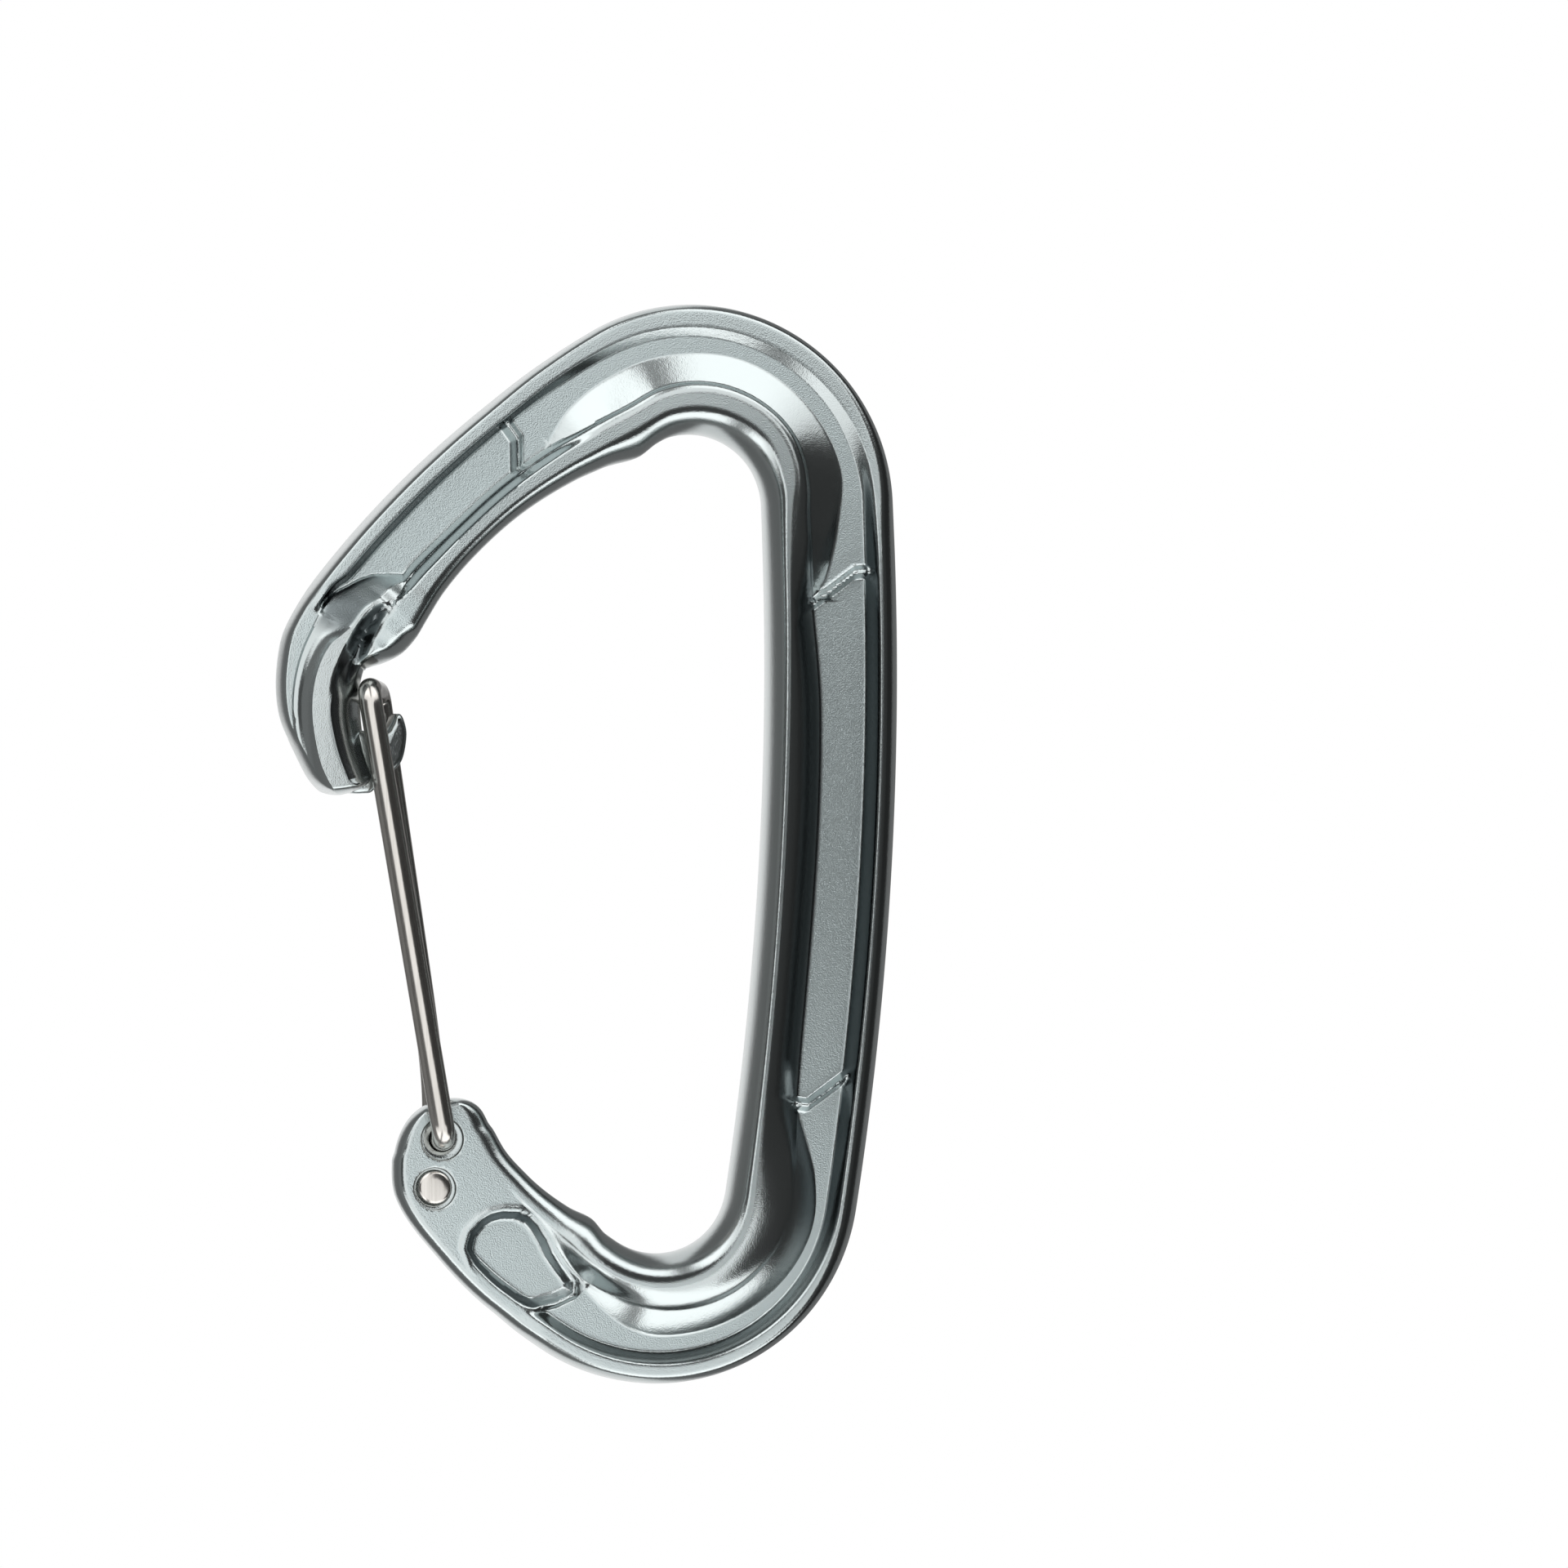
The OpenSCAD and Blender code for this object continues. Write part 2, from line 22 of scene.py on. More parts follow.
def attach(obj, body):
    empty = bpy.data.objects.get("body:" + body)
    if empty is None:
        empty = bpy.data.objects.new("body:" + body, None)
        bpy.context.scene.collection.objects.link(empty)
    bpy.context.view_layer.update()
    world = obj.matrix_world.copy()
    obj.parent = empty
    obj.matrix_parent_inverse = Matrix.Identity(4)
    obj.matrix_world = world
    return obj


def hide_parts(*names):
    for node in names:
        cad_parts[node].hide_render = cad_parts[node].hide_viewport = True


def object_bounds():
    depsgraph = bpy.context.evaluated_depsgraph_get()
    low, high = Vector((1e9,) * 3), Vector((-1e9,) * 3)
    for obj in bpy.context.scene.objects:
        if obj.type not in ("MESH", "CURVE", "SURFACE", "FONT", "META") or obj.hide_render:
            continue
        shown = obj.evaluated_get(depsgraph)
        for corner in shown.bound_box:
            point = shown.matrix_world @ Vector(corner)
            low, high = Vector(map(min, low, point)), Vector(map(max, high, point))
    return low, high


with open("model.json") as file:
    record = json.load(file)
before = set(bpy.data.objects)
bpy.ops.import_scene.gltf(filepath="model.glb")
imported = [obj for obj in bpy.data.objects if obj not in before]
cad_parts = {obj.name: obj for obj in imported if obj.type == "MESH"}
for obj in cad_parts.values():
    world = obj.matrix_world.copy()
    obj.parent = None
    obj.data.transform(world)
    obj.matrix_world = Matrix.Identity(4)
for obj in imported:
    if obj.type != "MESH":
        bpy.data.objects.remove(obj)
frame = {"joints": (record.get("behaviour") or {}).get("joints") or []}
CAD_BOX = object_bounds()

MM = 0.001


# ---- smooth steps and tables

def ramp(x, a, b):
    """Rise from 0 to 1 as x passes from a to b."""
    u = np.clip((x - a) / (b - a), 0, 1)
    return u * u * (3 - 2 * u)


def between_knots(table, q):
    """Levels at the knots around a station, and the share of the way between them along the bar."""
    at, level = np.array(table, float).T
    i = np.clip(np.searchsorted(at, q, side="right") - 1, 0, len(at) - 2)
    knots = distance(at)
    return knots, level, i, np.clip((distance(q) - knots[i]) / (knots[i + 1] - knots[i]), 0, 1)


def eased(table):
    """Function of the station that eases from each knot of a table to the next."""
    def value(q):
        _, level, i, u = between_knots(table, q)
        return level[i] + (level[i + 1] - level[i]) * ramp(u, 0, 1)
    return value


def curved(table):
    """Function of the station that runs as a cubic curve through the knots of a table."""
    def value(q):
        knots, level, i, u = between_knots(table, q)
        at = np.arange(len(level))
        low, high = np.maximum(at - 1, 0), np.minimum(at + 1, at[-1])
        slope = (level[high] - level[low]) / (knots[high] - knots[low])
        w, v = knots[i + 1] - knots[i], 1 - u
        return (v * v * (1 + 2 * u) * level[i] + u * u * (1 + 2 * v) * level[i + 1]
                + u * v * w * (v * slope[i] - u * slope[i + 1]))
    return value


def rounded(x, run, power=2.0):
    """Superelliptic rise from 0 to 1 over a run; a power of 2 is a quarter ellipse."""
    u = 1 - np.clip(x / run, 0, 1)
    return np.maximum(1 - u ** power, 0) ** (1 / power)


# ---- the path of the bar, from the tip of the hinge lug to the tip of the nose

def arc_length(radius, turn):
    """Length of an arc that turns by so many degrees."""
    return radius * math.radians(turn)


TIP_LENGTH, LUG_LENGTH, LOWER_ARM_LENGTH = 4.0, 12.5, 5.5
SPINE_LENGTH, UPPER_ARM_LENGTH, SHOULDER_LENGTH, NOSE_LENGTH = 61.5, 29.5, 6.0, 13.5
LOWER_BASKET_RADIUS, UPPER_BASKET_RADIUS = 12.2, 12.3
# Length of each stretch, and how far it turns in degrees
STRETCHES = [
    (TIP_LENGTH, 0), (LUG_LENGTH, 38), (LOWER_ARM_LENGTH, 2),
    (arc_length(LOWER_BASKET_RADIUS, 115), 115), (SPINE_LENGTH, 12),
    (arc_length(UPPER_BASKET_RADIUS, 114), 114), (UPPER_ARM_LENGTH, 23), (SHOULDER_LENGTH, 11),
    (NOSE_LENGTH, 66),
]
LENGTHS = np.array([length for length, turn in STRETCHES])
TURNS = np.array([turn for length, turn in STRETCHES], float)
START_HEADING = -74
STARTS = np.concatenate([[0], np.cumsum(LENGTHS)])
HEADINGS = START_HEADING + np.concatenate([[0], np.cumsum(TURNS)])
LAST = len(STRETCHES) - 1


def chord(length, turn):
    """Straight distance between the ends of an arc."""
    return length * np.sinc(turn / 360)


KNOT_STEPS = [chord(LENGTHS[i], TURNS[i]) * np.exp(1j * math.radians(HEADINGS[i] + TURNS[i] / 2))
              for i in range(LAST + 1)]
KNOTS = np.concatenate([[0], np.cumsum(KNOT_STEPS)])


def place(q, n):
    """Complex number x + iy at station q, offset n towards the eye of the carabiner."""
    i = np.clip(np.floor(q).astype(int), 0, LAST)
    share = q - i
    turn = TURNS[i] * share
    here = KNOTS[i] + chord(LENGTHS[i] * share, turn) * np.exp(1j * np.radians(HEADINGS[i] + turn / 2))
    return here + n * 1j * np.exp(1j * np.radians(HEADINGS[i] + turn))


def station(along):
    """Station at a distance along the bar."""
    i = np.clip(np.searchsorted(STARTS, along, side="right") - 1, 0, LAST)
    return i + (along - STARTS[i]) / LENGTHS[i]


def distance(q):
    """Distance along the bar at a station."""
    i = np.clip(np.floor(q).astype(int), 0, LAST)
    return STARTS[i] + (q - i) * LENGTHS[i]


# ---- edges of the bar, as offsets from the path

# Half the bar's width in the spine and baskets, in the upper arm, in the hinge lug and in the nose
BAR, ARM, LUG, NOSE = 11.5 / 2, 9.4 / 2, 10.4 / 2, 6.9 / 2
OUTER = curved([
    (0, LUG - 1), (0.4, LUG - 0.85), (0.8, LUG - 0.4), (1, LUG + 0.1), (1.2, LUG + 0.9),
    (1.6, LUG + 0.4), (2, BAR - 0.05), (2.6, BAR + 0.15), (3.3, BAR + 0.1), (4.5, BAR + 0.05),
    (5.4, BAR + 0.1), (5.9, BAR + 0.1), (6.2, ARM + 0.7), (6.4, ARM + 0.25), (6.7, ARM - 0.1),
    (7, ARM - 0.3), (8, NOSE + 0.9), (8.2, NOSE + 0.3), (8.45, NOSE - 0.5), (8.7, NOSE - 1.45),
    (9, NOSE - 2),
])
INNER_EDGE = curved([
    (0, LUG - 0.8), (0.35, LUG - 1.2), (0.75, LUG - 1.45), (1, LUG - 1.15), (1.2, LUG - 0.8),
    (1.5, LUG - 0.15), (2, BAR - 0.1), (3, BAR - 0.15), (4.5, BAR), (5.4, BAR - 0.1),
    (5.9, BAR - 0.2), (6.05, BAR - 0.1), (6.2, ARM + 0.45), (6.3, ARM + 0.05), (6.5, ARM - 0.35),
    (6.7, ARM - 0.25), (6.85, ARM + 0.1), (6.95, ARM + 0.6), (7.15, ARM + 0.95), (7.4, ARM + 0.85),
    (7.6, ARM + 0.45), (7.8, ARM - 0.25), (7.9, ARM - 0.75), (8, ARM - 1.2),
])
NOSE_WALL = curved([
    (8, NOSE - 0.1), (8.15, NOSE + 0.15), (8.35, NOSE + 0.55), (8.6, NOSE + 0.6), (8.8, NOSE + 0.2),
    (9, NOSE - 0.4),
])
# Station from which the inner edge is the nose's wall, in the notch of the hook
NOTCH = 8.02
# Low stops on the inner edge beside the two baskets, as the stations of foot, top and foot
STOPS, STOP_HEIGHT = [(2, 2.45, 2.8), (6, 6.08, 6.2)], 0.35
# Lengths over which the bar closes at its two ends, and how square the nose's end is
TIP_RUN, NOSE_RUN, NOSE_WALL_RUN, NOSE_POWER = 3.5, 2.2, 1.3, 2.3


def from_tip(q):
    """Distance from the hinge lug's tip, near it."""
    return q * TIP_LENGTH


def from_nose(q):
    """Distance from the nose's tip, near it."""
    return (LAST + 1 - q) * NOSE_LENGTH


def closing(q, nose_run=NOSE_RUN):
    """Share of its width that the bar has at its two rounded ends."""
    return rounded(from_tip(q), TIP_RUN) * rounded(from_nose(q), nose_run, NOSE_POWER)


def outer(q):
    """Distance of the outer edge from the path."""
    return OUTER(q) * closing(q)


def plain_inner(q):
    """Offset of the inner edge without its stops."""
    return np.where(q < NOTCH, INNER_EDGE(q), NOSE_WALL(q)) * closing(q, NOSE_WALL_RUN)


def inner(q):
    """Offset of the inner edge."""
    stops = sum(ramp(q, start, top) - ramp(q, top, end) for start, top, end in STOPS)
    return plain_inner(q) + STOP_HEIGHT * stops * (q < NOTCH)


# ---- lines that run along the upper face

# Flange: from the outer edge to its outer crest, its inner crest and the foot of its inner wall
FLANGE_OUTER = curved([
    (0, 0.9), (1.5, 0.9), (2.6, 0.9), (3.3, 0.9), (3.7, 1.3), (4.0, 1.75), (4.95, 1.75), (5.15, 1.35),
    (5.4, 0.9), (6.1, 0.6), (6.6, 0.5), (7.4, 0.45), (8, 0.45), (8.5, 0.35), (9, 0.3),
])
FLANGE_INNER = curved([
    (0, 1.3), (1.5, 1.3), (2.2, 1.45), (3, 1.5), (3.4, 1.55), (4.0, 1.9), (4.9, 1.9), (5.4, 2.0),
    (5.8, 1.95), (6.1, 1.6), (6.6, 1.35), (7.0, 1.2), (7.3, 0.8), (7.6, 0.8), (8, 0.7), (8.5, 0.45),
    (9, 0.4),
])
FLANGE_FOOT = curved([
    (0, 2.6), (1.5, 2.6), (2.2, 2.85), (3, 2.95), (3.5, 3.0), (4.1, 3.15), (4.9, 3.15), (5.5, 2.95),
    (5.9, 2.7), (6.1, 2.4), (6.35, 2.25), (6.6, 2.3), (7.0, 2.2), (7.3, 1.7), (7.6, 1.6), (8, 0.9),
    (8.5, 0.55), (9, 0.5),
])
# Bead: from the inner edge to its inner crest, its outer crest and the crease at its foot
BEAD_INNER = curved([
    (0, 1.1), (0.8, 1.9), (1.5, 1.8), (2.2, 2.3), (2.8, 2.7), (3.5, 2.4), (4.0, 1.2), (4.9, 1.1),
    (5.15, 1.6), (5.4, 2.4), (6.0, 2.5), (6.3, 1.8), (6.6, 1.6), (7.0, 1.9), (7.3, 2.1), (7.6, 1.9),
    (7.9, 1.7), (8.05, 2.0), (8.2, 3.0), (8.5, 3.5), (8.8, 3.4), (9, 2.4),
])
BEAD_OUTER = curved([
    (0, 1.5), (0.8, 2.1), (1.5, 2.0), (2.2, 2.5), (2.8, 2.9), (3.5, 2.8), (3.9, 1.7), (4.15, 1.3),
    (4.85, 1.3), (5.0, 1.7), (5.2, 2.7), (5.5, 3.5), (6.0, 3.4), (6.2, 3.0), (6.5, 2.45), (6.75, 2.45),
    (6.9, 2.9), (6.97, 3.5), (7.1, 4.0),
])
CREASE = curved([
    (0, 2.3), (1.75, 2.5), (2.0, 3.4), (2.2, 4.1), (2.5, 4.6), (2.75, 4.8), (3.2, 4.8), (3.6, 5.2),
    (3.95, 5.2), (4.1, 4.85), (4.25, 4.5), (4.7, 4.5), (4.88, 3.7), (4.98, 3.4), (5.1, 3.65),
    (5.3, 4.25), (5.55, 4.5), (5.8, 4.55), (6.05, 4.35), (6.25, 3.95), (6.5, 3.55), (6.7, 3.5),
    (6.9, 4.1), (7.0, 4.4),
])
# Outer boundary of the smooth scoops, as an offset from the path
SCOOP_EDGE = curved([
    (2.7, -1.2), (2.85, -1.5), (3.24, -1.65), (3.57, -1.85), (3.86, -2.1), (3.97, -2.0),
    (4.04, -1.4), (4.08, -0.4), (4.12, 0.7), (4.16, 1.6), (4.84, 2.4), (4.87, 1.5), (4.9, 0.6),
    (4.95, -0.3), (5.0, -0.9), (5.1, -1.35), (5.3, -1.45), (5.6, -1.65), (5.8, -1.5), (6.0, -1.55),
    (6.1, -1.4), (6.2, -0.8), (6.26, 0.0), (6.32, 0.9), (6.4, 1.5),
])
# Finger on the nose: the foot of its left flank and the two sides of its crest, as offsets
FINGER_FOOT = curved([
    (6.86, 2.6), (6.88, 1.7), (6.905, 0.8), (6.93, 0.0), (6.96, -0.95), (7.0, -1.65), (7.15, -2.05),
    (7.3, -2.5), (7.5, -2.9), (7.7, -2.95), (8.0, -2.8), (8.4, -2.45), (8.7, -2.1), (9, -1.6),
])
FINGER_LEFT = curved([
    (6.86, 3.0), (6.88, 2.4), (6.92, 1.2), (6.95, 0.7), (7.0, 0.5), (7.08, 0.4), (7.3, 0.0), (7.6, -0.1),
    (7.8, -0.45), (8.0, -0.9), (8.2, -1.05), (8.6, -0.87), (8.8, -0.95), (9, -0.9),
])
FINGER_RIGHT = curved([
    (6.86, 3.3), (6.88, 2.8), (6.92, 2.1), (6.95, 1.7), (7.0, 1.2), (7.08, 0.75), (7.3, 0.25),
    (7.6, 0.15), (7.8, 0.2), (8.0, 0.3), (8.4, 0.6), (8.6, 0.8), (8.8, 0.75), (9, 0.5),
])
FINGER_TOP = curved([
    (6.86, 2.2), (6.92, 2.8), (6.97, 4.0), (7.0, 4.35), (7.05, 4.6), (7.15, 4.8), (7.3, 4.8), (9, 4.8),
])
# How far the finger's left flank is hollow, how far the pocket beside it has risen to the land, and
# how far the flank's foot has
HOLLOW = eased([(0, 0), (7.3, 0), (7.9, 1), (9, 1)])
RISE_TO_LAND = eased([(0, 0), (6.9, 0), (7.2, 0.2), (7.5, 0.3), (7.72, 1), (9, 1)])
FLANK_START = eased([(0, 0), (6.86, 0), (6.95, 0.3), (7.2, 0.5), (8.0, 1), (9, 1)])
# Stations over which the bead's lines give way to the finger's
ON_NOSE = (6.87, 7.0)
# Share of the bar's width that the lines of flange and bead may take, and the least gap between two
LINES_SHARE, LINE_GAP = 0.9, 0.02
# Widths of the scoop between which the middle line moves over to its edge
SCOOP_SHOWS = (0.02, 0.3)

Rows = namedtuple(
    "Rows", "edge flange_outer flange_inner foot middle crease bead_outer bead_inner inside")


def narrowing(q):
    """Scale of the lines' distances where the bar is too narrow for them."""
    return np.minimum(1, LINES_SHARE * (outer(q) + plain_inner(q)) / (FLANGE_FOOT(q) + CREASE(q)))


def bead_lines(q):
    """Offsets of the bead's crease, outer crest and inner crest."""
    k = narrowing(q)
    return [plain_inner(q) - k * line(q) for line in (CREASE, BEAD_OUTER, BEAD_INNER)]


def scoop_run(q):
    """Width of the scoop beside the bead, 0 where there is none."""
    return np.maximum(bead_lines(q)[0] - SCOOP_EDGE(q), 0) * scooped(q)


def lines(q):
    """Offsets of the lines along the face, from the outer edge to the inner edge."""
    o, k = outer(q), narrowing(q)
    crease, bead_outer, bead_inner = bead_lines(q)
    foot = -o + k * FLANGE_FOOT(q)
    middle = (foot + crease) / 2
    middle += ramp(scoop_run(q), *SCOOP_SHOWS) * (crease - scoop_run(q) - middle)
    nose, shrink = ramp(q, *ON_NOSE), closing(q)
    middle += nose * (FINGER_FOOT(q) * shrink - middle)
    crease += nose * (FINGER_LEFT(q) * shrink - crease)
    bead_outer += nose * (FINGER_RIGHT(q) * shrink - bead_outer)
    rows = [-o, -o + k * FLANGE_OUTER(q), -o + k * FLANGE_INNER(q), foot, middle, crease,
            bead_outer, bead_inner, inner(q)]
    for j in range(1, len(rows)):
        rows[j] = np.maximum(rows[j], rows[j - 1] + LINE_GAP * shrink)
    return Rows(*rows)


# ---- heights of the upper face above the parting plane

BEAD, FLANGE, WEB, POCKET, LUG_TOP, RECESS = 4.8, 3.4, 1.8, 1.4, 2.2, 1.1
FLANGE_TOP = curved([
    (0, LUG_TOP), (1.5, LUG_TOP), (2.2, 2.7), (2.9, FLANGE), (4.9, FLANGE), (5.25, 2.4), (6.0, 2.35),
    (6.22, 2.8), (6.45, FLANGE), (7.3, FLANGE), (7.7, 2.9), (8.4, 2.6), (9, 2.4),
])
BEAD_TOP = curved([
    (0, LUG_TOP), (1.45, LUG_TOP), (1.75, 2.45), (2.0, 2.9), (2.5, 3.8), (3.0, 4.5), (3.12, 4.7),
    (3.3, BEAD), (9, BEAD),
])
# How square the outer edge, the inner edge and the bead's outer wall are
FLANGE_POWER = eased([
    (0, 2.4), (3, 2.4), (3.4, 2.2), (4, 1.6), (4.95, 1.6), (5.4, 2.2), (6.3, 2.8), (8, 2.8), (9, 2.2),
])
BEAD_POWER = eased([(0, 2), (7.0, 2), (7.3, 1.5), (8.3, 1.4), (9, 1.5)])
WALL_POWER = eased([(0, 1.5), (3.5, 1.5), (4.1, 1.25), (4.9, 1.25), (5.2, 2.4), (5.4, 3), (9, 3)])

# Ribs across the web: the station, how many stations it leans per millimetre, the offset from which it
# leans, the side of that on which it does, and the length of its stretch
RIBS = [
    (6.372, 0.024, -1.3, 1, UPPER_ARM_LENGTH),
    (4.902, -0.0115, -1.9, 1, SPINE_LENGTH),
    (4.137, 0.0155, 0.1, -1, SPINE_LENGTH),
]
RIB_WIDTH, RIB_RISE = 1.4, 0.8
# Distances from a rib's middle between which the pocket beside it drops
POCKET_WALL = (0.1, 0.7)


def past_rib(rib, q, n):
    """Distance along the bar from the middle of a rib."""
    at, lean, bend, side, length = rib
    return (q - at - lean * np.maximum(side * (n - bend), 0)) * length


def pocketed(q, n):
    """1 in the long pockets of the upper arm and the spine, which end at the ribs."""
    arm, upper, lower = (past_rib(rib, q, n) for rib in RIBS)
    return ramp(arm, *POCKET_WALL) + ramp(lower, *POCKET_WALL) * ramp(-upper, *POCKET_WALL)


def rib_height(q, n):
    """How far the ribs stand up from the web."""
    crests = [ramp(np.abs(past_rib(rib, q, n)), RIB_WIDTH / 2, 0) for rib in RIBS]
    return RIB_RISE * np.maximum.reduce(crests)


SCOOP_START, SCOOP_END, MID_SPINE = (2.9, 3.3), 6.5, 4.5


def scooped(q):
    """1 along the smooth scoops beside the two baskets, 0 elsewhere."""
    return ramp(q, *SCOOP_START) * (q < MID_SPINE) + (q > MID_SPINE) * (q < SCOOP_END)


# Recess beside the hinge lug: the outline of its rim, as stations and offsets
RECESS_RIM = [
    (1.55, -0.8), (1.57, -2.3), (1.63, -3.5), (1.74, -4.2), (1.9, -4.4), (2.2, -4.2), (2.45, -3.4),
    (2.68, -1.9), (2.84, -0.4), (2.74, 0.4), (2.5, 0.85), (2.2, 1.45), (2.0, 2.1), (1.87, 2.6),
    (1.78, 2.7), (1.68, 2.2), (1.6, 1.2), (1.56, 0.2),
]
RECESS_WALL = 0.85
# Raised rim round the recess: its outer foot, crest and inner foot, as distances inside the outline, its
# height, and how much higher it is towards the basket and away from the bead
RIM_OUTER, RIM_CREST, RIM_INNER = -0.75, -0.15, 0.2
RIM_HEIGHT, RIM_GAIN = 0.2, 0.35
# Stations and offsets over which it gains that height
GAIN_ALONG, GAIN_ACROSS = (2.2, 2.5), (-0.8, 0.3)
# Stations over which the hinge lug falls to the web's level, and at which the web begins
LUG_FALL, WEB_START = (2.0, 2.7), 3.0
# Width beside the flange's foot, and offsets from the crease, over which a rib fades out
RIB_FADE, RIB_END = 0.7, (-0.2, 0.4)


def along_arm(q):
    """Place along the hinge lug and the lower arm in millimetres, for distances between two stations."""
    return np.minimum(q, 2) * LUG_LENGTH + np.maximum(q - 2, 0) * LOWER_ARM_LENGTH


def recess_depth(q, n):
    """Distance inside the recess's rim, negative outside it."""
    u, v = np.broadcast_arrays(along_arm(q), n)
    rim = [(along_arm(a), b) for a, b in RECESS_RIM]
    nearest, inside = np.full(u.shape, np.inf), np.zeros(u.shape, bool)
    for (a, b), (c, d) in zip(rim, rim[1:] + rim[:1]):
        du, dv = c - a, d - b
        t = np.clip(((u - a) * du + (v - b) * dv) / (du * du + dv * dv), 0, 1)
        nearest = np.minimum(nearest, np.hypot(u - a - t * du, v - b - t * dv))
        if dv:
            crossing = ((b > v) != (d > v)) & (u < a + (v - b) * du / dv)
            inside ^= crossing
    return np.where(inside, nearest, -nearest)


def floor_level(q, n, foot, crease):
    """Height of the lug, the recess in it, the web and the ribs, without flange and bead."""
    web = WEB + (POCKET - WEB) * np.clip(pocketed(q, n), 0, 1)
    between = ramp(n, foot - RIB_FADE, foot) * (1 - ramp(n, crease + RIB_END[0], crease + RIB_END[1]))
    web = web + rib_height(q, n) * between
    plain = LUG_TOP + (WEB - LUG_TOP) * ramp(q, *LUG_FALL)
    depth = recess_depth(q, n)
    rim = ramp(depth, RIM_OUTER, RIM_CREST) * (1 - ramp(depth, RIM_CREST, RIM_INNER))
    lug = plain + rim * (RIM_HEIGHT + RIM_GAIN * ramp(q, *GAIN_ALONG) * (1 - ramp(n, *GAIN_ACROSS)))
    lug = lug + (RECESS - lug) * ramp(depth, 0, RECESS_WALL)
    return np.where(q < WEB_START, lug, web)


# Slope and height of the scoops beside the bead, and the least width that the slope is spread over
SCOOP_SLOPE, SCOOP_RISE, LEAST_RUN = 0.7, 1.85, 0.05
# How far the bead's wall has become round; before that it is S-shaped
BEAD_STARTED = eased([(0, 0), (2.9, 0), (3.4, 1), (9, 1)])
# Heights of the two steps that the bead's wall has on the upper arm, as shares of its rise
LOWER_STEP, UPPER_STEP = 0.42, 0.58
# Stations at which the finger takes over from the bead, and at which the finger begins
BEAD_END, FINGER_START = 7.15, 6.86


def at_top_basket(q):
    """1 beside the upper basket, where the flange's inner wall is straight."""
    return ramp(q, 5.0, 5.2) * (1 - ramp(q, 6.1, 6.3))


def bead_wall(q, u):
    """Rise of the bead from its crease, at u = 0, to its outer crest, at u = 1."""
    on_arm = ramp(q, 6.15, 6.35)
    round_wall = rounded(u, 1, WALL_POWER(q))
    round_wall = round_wall + (ramp(u, 0, 1) - round_wall) * (1 - BEAD_STARTED(q))
    stepped = LOWER_STEP * ramp(u, 0, 0.4) + UPPER_STEP * ramp(u, 0.42, 1)
    return round_wall + (stepped - round_wall) * on_arm


# Saddle between the finger and the root of the hook: its left side, its valley, its depth there and
# how far it rises again on the right
SADDLE = curved([(7.0, 1.2), (7.08, 0.8), (7.3, 0.3), (7.6, 0.2), (7.84, 0.25), (8.0, 0.35), (9, 0.5)])
VALLEY = curved([(7.0, 1.5), (7.1, 1.2), (7.3, 1.15), (7.66, 1.4), (8.0, 1.8), (9, 2.0)])
SADDLE_DEPTH = eased([(0, 0), (6.99, 0), (7.25, 1.1), (7.6, 1.9), (8.0, 2.2), (8.35, 0), (9, 0)])
SADDLE_RETURN = eased([(0, 0), (6.99, 0), (7.25, 0.9), (7.6, 1.3), (8.0, 0.9), (8.35, 0), (9, 0)])
# Right side of the painted shade in the saddle
SADDLE_SHADE_SIDE = curved([(7.05, 1.2), (7.16, 1.6), (7.4, 1.95), (7.7, 2.2), (8.0, 2.3), (9, 2.4)])


def saddle(q, n):
    """How far the surface falls between the finger and the root of the hook."""
    down = np.clip((n - SADDLE(q)) / (VALLEY(q) - SADDLE(q)), 0, 1)
    return SADDLE_DEPTH(q) * down - SADDLE_RETURN(q) * ramp(n, VALLEY(q), VALLEY(q) + 1)


# Run over which the upper face rounds down at the two tips
TIP_EDGE = 0.95
# The finger's hollow flank: the shares of its width and rise that the lip at its foot has, the share of
# the rise that the rest has, and how hollow that is
LIP, LIP_RISE, HOLLOW_RISE, HOLLOW_POWER = 0.1, 0.18, 0.82, 2.2
# Width over which the flank's foot joins the land
FOOT_FADE = 0.2


